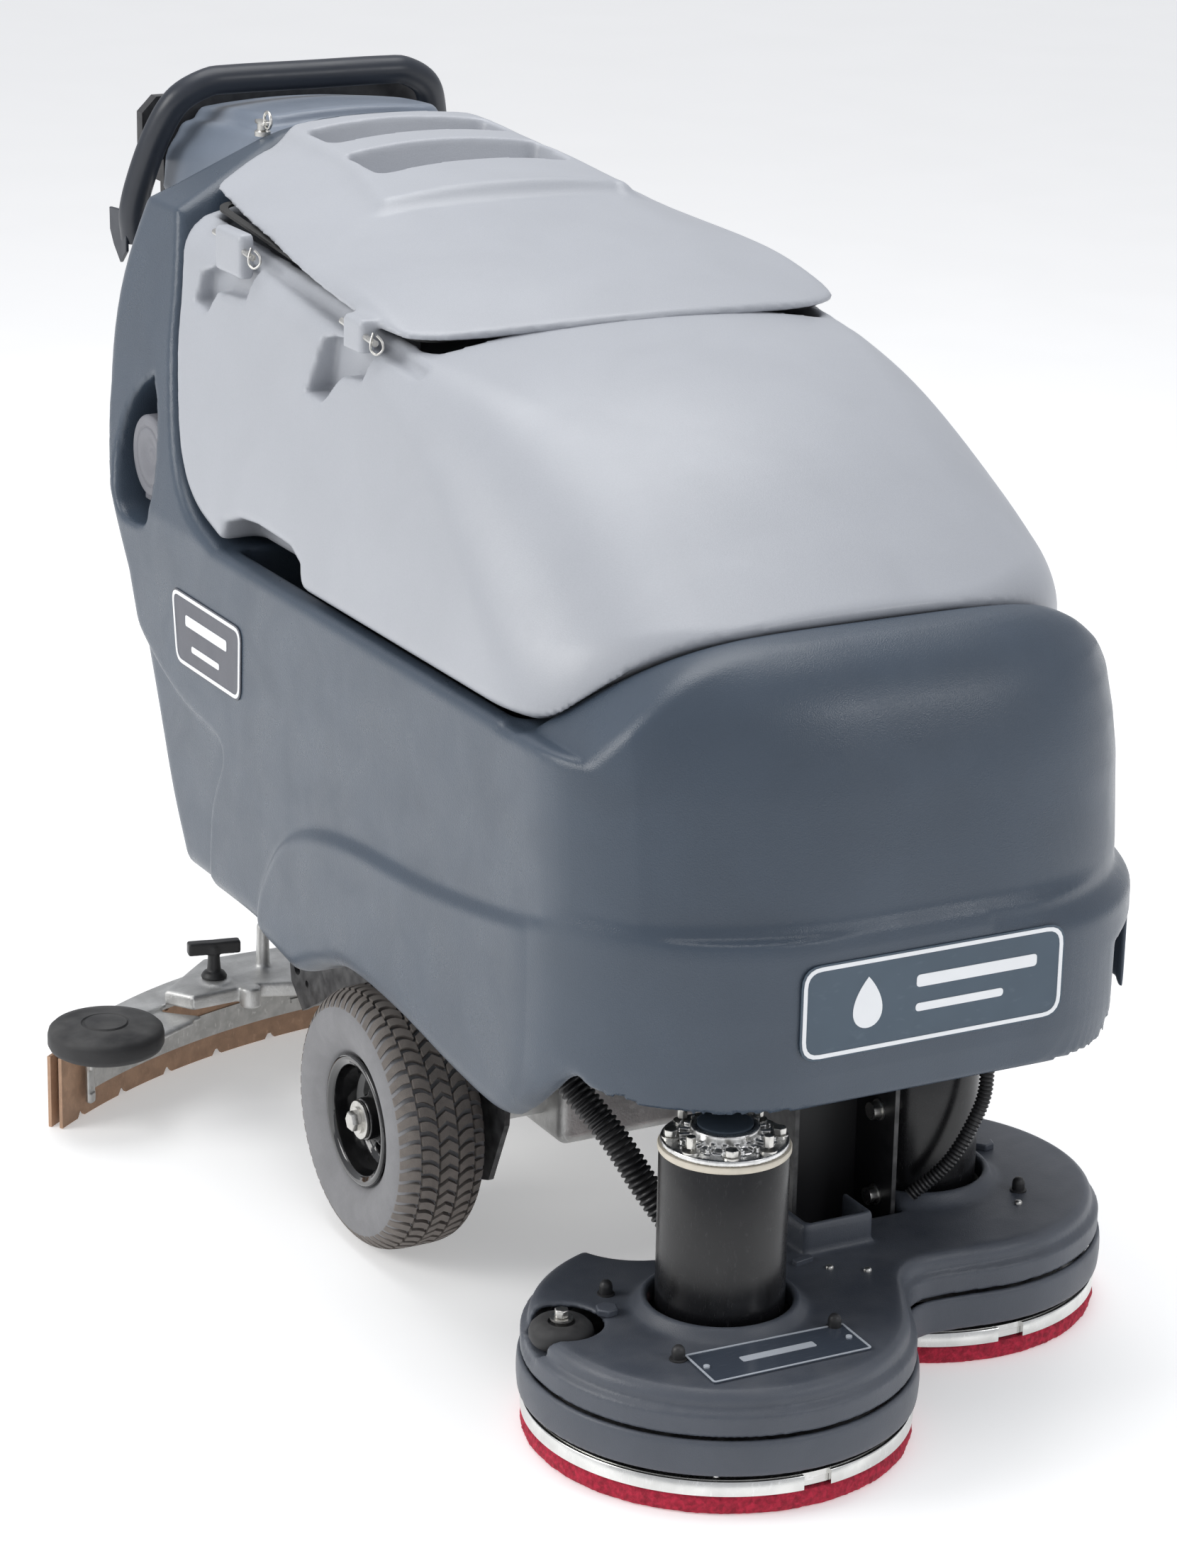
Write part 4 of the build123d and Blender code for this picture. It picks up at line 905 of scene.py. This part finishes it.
def nameplate():
    top = DECK_TOP + 0.3
    corners = [(-249, -592, top), (-252, -653, top), (-84, -655, top), (-82, -598, top)]
    up = (0, 0, 1)
    face = slab("deck_plate_face", plate_ring(corners, 4), up, 1.6)
    finish_big(face, CLEAR_PLATE, "deck", "label_dark", "nameplate")
    parts = [frame_band("edge", [(a, b, top + 1.6) for a, b, _ in corners], 4, 2.2, up, 0.5)]
    parts.append(slab("bar", plate_ring([(-206, -618, top + 1.6), (-206, -628, top + 1.6), (-128, -629, top + 1.6),
                                         (-128, -619, top + 1.6)], 2), up, 0.4))
    for cx, cy in ((-242, -622), (-92, -626)):
        parts.append(lathe("rivet", [(0, 123.9), (3.2, 123.9), (3, 125.4), (0, 126.4)], (cx, cy, 0), turns=20))
    finish_big(join("deck_plate_edge", parts), CLEAR_EDGE, "deck", "label_dark")


# ---------------------------------------------------------------- wheels
def tyre_profile(x):
    """Radius of the tyre casing against the distance from its middle plane."""
    half = TYRE_W / 2
    return WHEEL_R - 7 - 24 * (np.abs(x) / half) ** 3.6


def tyre(side, tag):
    """Casing plus rows of chevron turf blocks."""
    cx = side * WHEEL_X
    casing = through([(-36, RIM_R + 8), (-41, 76), (-48, 90), (-50.5, 104), (-49, 116), (-44.5, 124), (-38, 128.6),
                      (-26, 131.6), (-12, 132.7), (0, 133), (12, 132.7), (26, 131.6), (38, 128.6), (44.5, 124),
                      (49, 116), (50.5, 104), (48, 90), (41, 76), (36, RIM_R + 8)], 3)
    ring = [(r, h) for h, r in casing] + [(RIM_R + 4, 34), (RIM_R + 3.4, 0), (RIM_R + 4, -34)]
    body = lathe(f"tyre_casing_{tag}", ring, (cx, 0, WHEEL_R), "X", 144)
    finish_big(body, TYRE_SIDE, f"drive_wheel_{tag}", "tyre_grey", f"tyre_{tag}")
    finish_big(tread(cx, tag), tread_material(), f"drive_wheel_{tag}", "tyre_grey")


def tread_material():
    found = bpy.data.materials.get("tread_grey")
    return found or material("tread_grey", srgb(112, 106, 101), 0.8, grain=0.3, grain_size=1.6, mottle=0.12,
                             mottle_size=14, dust=0.1)


def tread(cx, tag):
    """Five rows of V-shaped blocks, each row stepped by half a pitch."""
    count = 58
    rows = ((-47.5, -31), (-28.5, -12), (-9.5, 9.5), (12, 28.5), (31, 47.5))
    verts, faces = [], []
    pitch = math.tau / count
    for row, (x0, x1) in enumerate(rows):
        stations = np.linspace(x0, x1, 7)
        for i in range(count):
            start = pitch * (i + 0.5 * (row % 2))
            base = len(verts)
            for x in stations:
                along = (x - x0) / (x1 - x0)
                if row == 2:
                    lean = 0.42 * (0.5 - abs(along - 0.5)) * 2
                else:
                    lean = 0.42 * (along if row in (0, 3) else 1 - along)
                    lean += 0.18 * math.sin(math.pi * along)
                for t in (0.0, 0.70):
                    a = start + pitch * (t + lean)
                    r0 = 130.6 - 22 * (abs(x) / 51) ** 4.6
                    shoulder = 1.6 * (abs(x) / 51) ** 3
                    r1 = min(r0 + 7.6, WHEEL_R) - shoulder
                    inset = 0.03 * pitch * (1 if t == 0 else -1)
                    verts.append((cx + x, r0 * math.sin(a), WHEEL_R + r0 * math.cos(a)))
                    verts.append((cx + x, r1 * math.sin(a + inset), WHEEL_R + r1 * math.cos(a + inset)))
            for k in range(len(stations) - 1):
                p, q = base + 4 * k, base + 4 * (k + 1)
                faces += [(p, q, q + 1, p + 1), (p + 1, q + 1, q + 3, p + 3), (p + 3, q + 3, q + 2, p + 2),
                          (p + 2, q + 2, q, p)]
            end = base + 4 * (len(stations) - 1)
            faces += [(base, base + 1, base + 3, base + 2), (end, end + 2, end + 3, end + 1)]
    obj = mesh_object(f"tyre_tread_{tag}", verts, faces, smooth=False)
    return finish_mesh(obj, 25)


def rim(side, tag):
    """Dished steel rim with oval hand holes, washer and bolt."""
    cx = side * WHEEL_X
    step = 1.4
    low, high = (cx - 44, -72, WHEEL_R - 72), (cx + 44, 72, WHEEL_R + 72)
    x, y, z = axes(low, high, step)
    h = (x - cx) * side
    r, a = np.hypot(y, z - WHEEL_R), np.arctan2(z - WHEEL_R, y)
    ring = [(-42, 69), (-38, 70), (-36, RIM_R), (36, RIM_R), (38, 70), (42, 69), (42.5, 65), (39, 58), (22, 55.5),
            (13, 54), (9, 48), (8, 38), (14, 31), (18, 24), (33, 22), (34, 12.8), (-30, 12.8), (-30, 20), (2, 24),
            (2, 48), (0, 56), (-38, 58), (-42, 64)]
    section = outline([(r0, h0) for h0, r0 in ring], r, h)
    holes = both(np.hypot(np.sin(a * 2.5) * r / 2.5, (r - 42) * 1.35) - 7.5, np.abs(h - 8) - 14, 1)
    solid = less(section, holes, 1.5)
    obj = skin(f"rim_{tag}_steel", solid, low, step)
    finish_big(obj, RIM_BLACK, f"drive_wheel_{tag}", "rim_black", f"rim_{tag}")
    parts = []
    for profile in ([(0, 34), (20, 34), (20.5, 35), (20.5, 36.8), (20, 37.5), (0, 37.5)],
                    [(0, 37.5), (14, 37.5), (14, 40), (0, 40)], [(0, -60), (12.6, -60), (12.6, 36), (0, 36)]):
        parts.append(lathe("turned", [(q, side * w) for q, w in profile], (cx, 0, WHEEL_R), "X", 48))
    head = [(0, 40), (10.8, 40), (10.8, 46), (9.4, 47.6), (0, 47.6)]
    parts.append(lathe("bolt_head", [(q, side * w) for q, w in head], (cx, 0, WHEEL_R), "X", 6))
    finish_big(join(f"wheel_bolt_{tag}", parts), ZINC, f"drive_wheel_{tag}", "zinc", f"axle_shaft_{tag}")


# ---------------------------------------------------------------- squeegee
def arc_point(r, degrees_off):
    a = math.radians(degrees_off)
    return r * math.sin(a), ARC_Y + r * math.cos(a)


def arc_strip(name, r0, r1, z0, z1, a0, a1, notches=0, steps=220, lean=0.0):
    """A vertical strip that follows the squeegee arc, with optional small cuts in its edges."""
    cut = set()
    for k in range(notches):
        cut.add(int((k + 0.5) * steps / notches))
    verts, faces = [], []
    for i in range(steps + 1):
        a = a0 + (a1 - a0) * i / steps
        near = i in cut or (i - 1) in cut
        lo = z0 + (7 if near else 0)
        hi = z1 - (7 if near else 0)
        for r, z in ((r0, lo), (r1, lo), (r1, hi), (r0, hi)):
            verts.append((*arc_point(r + lean * (z0 + 40 - z) / 40, a), z))
    for i in range(steps):
        p, q = 4 * i, 4 * i + 4
        faces += [(p + k, p + (k + 1) % 4, q + (k + 1) % 4, q + k) for k in range(4)]
    faces += [(0, 3, 2, 1), (4 * steps, 4 * steps + 1, 4 * steps + 2, 4 * steps + 3)]
    return finish_mesh(mesh_object(name, verts, faces))


def squeegee():
    front = arc_strip("squeegee_blade_front", ARC_R, ARC_R + 4, 1, 84, -ARC_HALF, ARC_HALF, 13)
    finish_big(front, BLADE_TAN, "squeegee", "blade_tan", "blade_front")
    rear = arc_strip("squeegee_blade_rear", ARC_R + 14, ARC_R + 18, 0.3, 84, -ARC_HALF, ARC_HALF)
    finish_big(rear, BLADE_TAN, "squeegee", "blade_tan", "blade_rear")
    strap = [arc_strip("strap", ARC_R - 1.6, ARC_R - 0.1, 27, 56, -34.4, 36)]
    for a in (-27, -9, 9, 27):
        px, py = arc_point(ARC_R - 3.2, a)
        strap.append(arc_strip("strap_tab", ARC_R - 4, ARC_R - 1.7, 39, 44, a - 0.5, a + 0.5, steps=4))
    finish_big(join("squeegee_strap", strap), STRAP_STEEL, "squeegee", "strap_steel", "blade_strap")
    casting()
    for side, tag in ((-1, "left"), (1, "right")):
        wheel = lathe(f"bumper_disc_{tag}", [(5.1, 93.4), (48, 93.4), (56, 94.6), (61.6, 98), (64, 103), (64, 113),
                                             (62.6, 118.4), (59, 121.8), (50, 123.6), (30, 125), (27.4, 125.6), (26, 124.4),
                                             (24.4, 124.4), (23, 126.4), (12, 127.6), (0, 127.8), (0, 122.6), (5.1, 122.6)],
                      (side * 421, 396, 0), turns=128)
        finish_big(wheel, RUBBER, f"bumper_wheel_{tag}", "soft_black", f"bumper_wheel_{tag}")
        finish_big(t_knob(side, tag), KNOB_BLACK, f"t_knob_{tag}", "knob_black", f"t_knob_{tag}")
    latch()


def casting():
    step = 2.6
    low, high = (-480, 376, 20), (480, 616, 174)
    x, y, z = axes(low, high, step)
    r = np.hypot(x, y - ARC_Y)
    off = np.degrees(np.arctan2(np.abs(x), y - ARC_Y))
    rib = both(both(np.abs(r - ARC_R - 9) - 4.4, np.abs(z - 59) - 33, 2), (off - ARC_HALF + 1) * 13, 2)
    flange = both(both(np.abs(r - ARC_R - 2) - 26 + 8 * ease(20, 36, off), np.abs(z - 94) - 3.5, 2), (off - 30) * 13, 3)
    solid = either(rib, flange, 4)
    head = [(-318, 478), (-296, 446), (-214, 452), (-150, 430), (150, 430), (214, 452), (296, 446), (318, 478), (240, 552),
            (-240, 552)]
    plate = both(outline(head, x, y), np.abs(z - 108) - 9, 4)
    ribs = both(np.abs(np.abs(x) - 120) - 5, np.abs(z - 124) - 10, 2)
    plate = either(plate, both(ribs, np.abs(y - 492) - 46, 3), 5)
    solid = either(solid, plate, 7)
    bracket = both(both(np.abs(r - ARC_R + 28) - 42, np.abs(z - 88) - 2.6, 1.5), np.maximum(26 - off, off - 37.2) * 13, 2)
    solid = either(solid, bracket, 2)
    arm = outline([(286, 446), (330, 424), (388, 384), (432, 372), (442, 396), (396, 430), (330, 486)], np.abs(x), y)
    solid = either(solid, both(arm, np.abs(z - 90) - 2.6, 1.5), 3)
    post = both(np.hypot(np.abs(x) - 187, y - 500) - 8 + 0.02 * (z - 118), np.abs(z - 142) - 27, 2)
    solid = either(solid, post, 5)
    knob_boss = both(np.hypot(np.abs(x) - 254, y - 478) - 19, np.abs(z - 110) - 10, 3)
    solid = either(solid, knob_boss, 3)
    stop = both(np.hypot(np.abs(x) - 226, y - 446) - 12, np.abs(z - 106) - 12, 2)
    solid = either(solid, stop, 3)
    slot = both(outline([(380, 420), (396, 408), (400, 414), (384, 426)], np.abs(x), y), 60 - z, 0)
    solid = less(solid, slot, 1)
    obj = skin("squeegee_cast_body", solid, low, step, 1)
    finish_big(obj, CAST_ALU, "squeegee", "cast_alu", "squeegee_casting")
    pins = [lathe("pin", [(0, 90), (5, 90), (5, 122), (0, 122)], (side * 421, 396, 0), turns=24) for side in (-1, 1)]
    finish_big(join("bumper_pins", pins), ZINC, "squeegee", "cast_alu")


def t_knob(side, tag):
    step = 1.2
    cx, cy = side * 254, 485
    low, high = (cx - 40, cy - 22, 96), (cx + 40, cy + 22, 172)
    x, y, z = axes(low, high, step)
    x, y = x - cx, y - cy
    r = np.hypot(x, y)
    foot = both(r - 15 + np.abs(z - 122) * 0.6, np.abs(z - 123) - 5, 2)
    stem = both(r - 8 + 2 * ease(125, 148, z) * 0.6, np.abs(z - 136) - 22, 1)
    turn = math.radians(12 * side)
    u, v = x * math.cos(turn) + y * math.sin(turn), -x * math.sin(turn) + y * math.cos(turn)
    bar = cuboid(u, v, z, (-30, -7, 149), (30, 7, 164), 2.5)
    bar = less(bar, np.abs(u) * 0.1 + 163.5 - z, 1)
    shaft = both(r - 5, np.abs(z - 110) - 9, 0.5)
    solid = either(either(either(foot, stem, 3), bar, 3), shaft, 1)
    return skin(f"t_knob_{tag}_bar", solid, low, step)


def latch():
    """Over-centre latch that holds the blade strap at the left end."""
    step = 1.4
    cx, cy = arc_point(ARC_R - 9, -35)
    low, high = (cx - 26, cy - 26, 14), (cx + 26, cy + 26, 76)
    x, y, z = axes(low, high, step)
    x, y = x - cx, y - cy
    turn = math.radians(35)
    u, v = x * math.cos(turn) + y * math.sin(turn), -x * math.sin(turn) + y * math.cos(turn)
    plate = cuboid(u, v, z, (-7, -2.4, 20), (7, 2.4, 66), 1.2)
    lip = cuboid(u, v, z, (-7, -7, 58), (7, 2.4, 66), 1.5)
    hook = cuboid(u, v, z, (-5, -4, 18), (5, 2.4, 30), 1.5)
    obj = skin("strap_latch_lever", either(either(plate, lip, 2), hook, 2), low, step)
    finish_big(obj, STRAP_STEEL, "strap_latch", "strap_steel", "strap_latch")


# ---------------------------------------------------------------- handle, cap, hoses and small parts
def handle():
    top = [(-186, 858, 896), (-192, 846, 930), (-186, 832, 974), (-174, 812, 1025), (-157, 795, 1062), (-126, 786, 1081),
           (-96, 785, 1084), (0, 785, 1084)]
    path = top + [(-x, y, z) for x, y, z in top[-2::-1]]
    path = resample(through(path, 12), 6)
    tubes = [tube("grip", path, 16.5, 36), tube("cross", [(x, 850, 916) for x in np.linspace(-190, 190, 20)], 12, 28)]
    for side in (-1, 1):
        ring = [(846, 926), (868, 928), (896, 926), (895, 900), (884, 884), (864, 866), (846, 882)]
        points = [np.array((side * 198, y, z)) for y, z in ring]
        tubes.append(slab("end_plate", points, (side, 0, 0), 4, 1.0))
        strut = [np.array((side * 82, y, z)) for y, z in ((660, 886), (660, 926), (850, 927), (850, 905))]
        tubes.append(slab("strut", strut, (side, 0, 0), 5, 1.0))
    finish_big(join("handle_tube", tubes), TUBE_NAVY, "chassis", "tube_navy", "handle_frame")


def filler_cap():
    step = 1.6
    cy, cz = 552.0, 716.0
    low, high = (-312, cy - 54, cz - 54), (-240, cy + 54, cz + 54)
    x, y, z = axes(low, high, step)
    r, a = np.hypot(y - cy, z - cz), np.arctan2(z - cz, y - cy)
    knurl = 1.2 * np.cos(a * 24)
    solid = both(r - 46 + 0 * x, np.abs(x + 283) - 15, 4)
    skirt = both(r - 43 - knurl, np.abs(x + 262) - 14, 2)
    solid = either(solid, skirt, 2)
    dish = np.sqrt((x + 328) ** 2 + r ** 2 * 0.8) - 36
    solid = less(solid, dish, 2)
    solid = either(solid, both(r - 7, np.abs(x + 288) - 6, 2), 3)
    groove = both(np.abs(r - 33) - 1, np.abs(x + 298) - 2, 0.3)
    solid = less(solid, groove, 0.5)
    lug = both(np.abs(y - cy - 18) - 13, np.abs(z - cz + 50) - 9, 3)
    lug = both(lug, np.abs(x + 272) - 18, 3)
    solid = either(solid, lug, 4)
    solid = less(solid, both(r - 34.1, -262 - x, 0), 0.5)
    obj = skin("filler_cap_disc", solid, low, step)
    finish_big(obj, CAP_GREY, "filler_cap", "knob_black", "filler_cap")


def bending(obj, start, end, node):
    """A hose between two bodies: it is painted, baked in place and its CAD piece hidden, but it is tied to neither body
    and does not bend; start and end are converted to metres and then not used.
    """
    paint_piece(obj, HOSE_BLACK)
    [tuple(p) for p in place([start, end])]
    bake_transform(obj)
    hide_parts(node)


def hoses():
    drain = corrugated("deck_hose_ribbed", [(-244, -250, 330), (-225, -300, 290), (-196, -348, 240), (-172, -380, 190),
                                            (-150, -404, 150), (-140, -414, 128)], 15, 6.4, 0.22)
    bending(drain, (-225, -300, 290), (-162, -392, 168), "deck_hose")
    conduit = corrugated("motor_conduit_ribbed", [(196, -404, 286), (194, -412, 262), (184, -418, 226), (150, -420, 176),
                                                  (112, -408, 140)], 7.6, 4.2, 0.2)
    finish_big(conduit, HOSE_BLACK, "deck", "hose_black", "motor_conduit")
    suction = corrugated("suction_hose_ribbed", [(0, 522, 126), (0, 560, 220), (0, 620, 330), (0, 672, 520), (0, 712, 700),
                                                 (0, 724, 800), (0, 707, 880)], 22, 7.5, 0.14)
    bending(suction, (0, 672, 520), (0, 545, 185), "suction_hose")


def hinge_pins():
    """Two pins along the lid's hinge line, each kept by a sprung clip."""
    pins = []
    for y0, y1 in ((38, 116), (334, 434)):
        ends = [(-267, v, 940 + LID_SLOPE * v) for v in (y0, y1)]
        pins.append(tube("pin", [ends[0], ends[1]], 3.4))
        _, yc, zc = ends[0]
        loop = [(-267, yc + 5, zc + 10), (-270, yc + 4, zc + 2), (-271, yc + 2, zc - 6), (-268, yc - 4, zc - 10),
                (-263, yc - 8, zc - 5), (-263, yc - 7, zc + 3), (-267, yc - 3, zc + 9)]
        pins.append(tube("clip", through(loop, 4), 1.3, 12))
    finish_big(join("lid_pins", pins), ZINC, "recovery_tank", "zinc", "lid_hinge_pins")


def cowl_latch():
    """Small bent catch with a finger ring, turned to release the cowl."""
    at = (-127.5, 624)
    parts = [lathe("collar", [(0, 1047), (9, 1047), (9, 1052), (6, 1054), (6, 1062), (0, 1062)], (*at, 0), turns=36)]
    blade = prism("blade", [(at[0] - 5, at[1] - 14), (at[0] + 5, at[1] - 14), (at[0] + 7, at[1] + 4),
                            (at[0] + 4, at[1] + 12), (at[0] - 4, at[1] + 12), (at[0] - 7, at[1] + 4)], 1060, 1064, 1)
    ring = [(at[0], at[1] - 14 + 9 * math.cos(t), 1066 + 9 * math.sin(t)) for t in np.linspace(0, math.tau, 25)]
    parts += [blade, tube("ring", ring, 1.8, 12)]
    finish_big(join("cowl_catch", parts), ZINC, "cowl_latch", "zinc", "cowl_latch")


def slot_guide():
    """White plastic guide in the slot of the raised block."""
    guide = prism("deck_slot_guide", [(-29, -446), (33, -446), (33, -432), (-29, -432)], 140, 146, 1.5)
    finish_big(guide, LABEL_WHITE, "deck", "deck_blue")


CAD_FINISH = {
    "batteries": PANEL_BLACK, "traction_motor": MOTOR_BLACK, "transaxle": CAST_ALU, "chassis_frame": FRAME_BLACK,
    "actuator_tube": ZINC, "actuator_rod": ZINC, "vacuum_motor": MOTOR_BLACK, 
    "tank_internals": TANK_GREY, "lid_gasket": GASKET, "deck_frame": FRAME_BLACK, "squeegee_arm": FRAME_BLACK,
    "console_panel": PANEL_BLACK, "speed_knob": KNOB_BLACK, "key_switch": ZINC, "push_button_1": GREEN,
    "push_button_2": GREEN, "drive_paddle": PANEL_BLACK, "hanger_ring": ZINC,
    "caster_fork_left": ZINC, "caster_fork_right": ZINC, "caster_wheel_left": TYRE_SIDE,
    "caster_wheel_right": TYRE_SIDE,
}


def cad_nodes():
    """CAD pieces that stay: a finish and small rounded edges."""
    for node, mat in CAD_FINISH.items():
        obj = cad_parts[node]
        if obj.data.materials:
            for index in range(len(obj.data.materials)):
                obj.data.materials[index] = mat
        else:
            obj.data.materials.append(mat)
        soften(obj, 0.8)


# ---------------------------------------------------------------- stage
def stage():
    floor_mesh = bpy.data.meshes.new("floor")
    size = 12.0
    floor_mesh.from_pydata([(-size, -size, 0), (size, -size, 0), (size, size, 0), (-size, size, 0)], [], [(0, 1, 2, 3)])
    floor = bpy.data.objects.new("floor", floor_mesh)
    bpy.context.scene.collection.objects.link(floor)
    pale = material("floor_pale", (0.86, 0.86, 0.855), 0.7, mottle=0.01, mottle_size=300)
    shader = pale.node_tree.nodes["Principled BSDF"]
    shader.inputs["Emission Color"].default_value = (1, 1, 1, 1)
    shader.inputs["Emission Strength"].default_value = 0.34
    floor.data.materials.append(pale)

    world = bpy.data.worlds.new("studio")
    world.use_nodes = True
    world.node_tree.nodes["Background"].inputs["Color"].default_value = (0.93, 0.95, 1.0, 1)
    world.node_tree.nodes["Background"].inputs["Strength"].default_value = 0.56
    bpy.context.scene.world = world
    bpy.context.scene.view_settings.view_transform = "Standard"

    def lamp(name, at, aim, size_m, power, color=(1, 1, 1)):
        data = bpy.data.lights.new(name, "AREA")
        data.size = size_m
        data.energy = power
        data.color = color
        obj = bpy.data.objects.new(name, data)
        obj.location = at
        obj.rotation_euler = (Vector(aim) - Vector(at)).to_track_quat("-Z", "Y").to_euler()
        bpy.context.scene.collection.objects.link(obj)

    lamp("key", (-4.2, 0.9, 2.6), (0, 0, 0.5), 2.4, 98, (1.0, 0.99, 0.97))
    lamp("top", (0.2, 0.6, 4.2), (0, 0, 0.4), 3.0, 95)
    lamp("front", (2.0, -3.9, 2.7), (0, -0.3, 0.5), 0.9, 26, (0.97, 0.98, 1.0))


def camera():
    """Three-quarter front view from slightly above."""
    azimuth, elevation, roll = (math.radians(v) for v in (-28.53, 18.47, 1.21))
    target = np.array((-84.77, -83.24, 500.0))
    distance = 4207.5
    back = np.array((math.sin(azimuth) * math.cos(elevation), -math.cos(azimuth) * math.cos(elevation),
                     math.sin(elevation)))
    right = np.cross((0, 0, 1), back)
    right /= np.linalg.norm(right)
    up = np.cross(back, right)
    c, s = math.cos(roll), math.sin(roll)
    right, up = c * right + s * up, -s * right + c * up
    data = bpy.data.cameras.new("view")
    data.lens = 95.6
    data.sensor_width = 36
    data.clip_end = 100
    obj = bpy.data.objects.new("view", data)
    at = place([target + back * distance])[0]
    obj.matrix_world = Matrix([(*(right[i], up[i], back[i]), at[i]) for i in range(3)] + [(0, 0, 0, 1)])
    bpy.context.scene.collection.objects.link(obj)
    bpy.context.scene.camera = obj


solution_tank()
recovery_tank()
tank_lid()
control_cowl()
deck_cover()
deck_skirt()
motors()
pads()
deck_details()
labels()
nameplate()
for side_sign, side_tag in ((-1, "left"), (1, "right")):
    tyre(side_sign, side_tag)
    rim(side_sign, side_tag)
squeegee()
handle()
filler_cap()
hoses()
slot_guide()
hinge_pins()
cowl_latch()
cad_nodes()
stage()
camera()
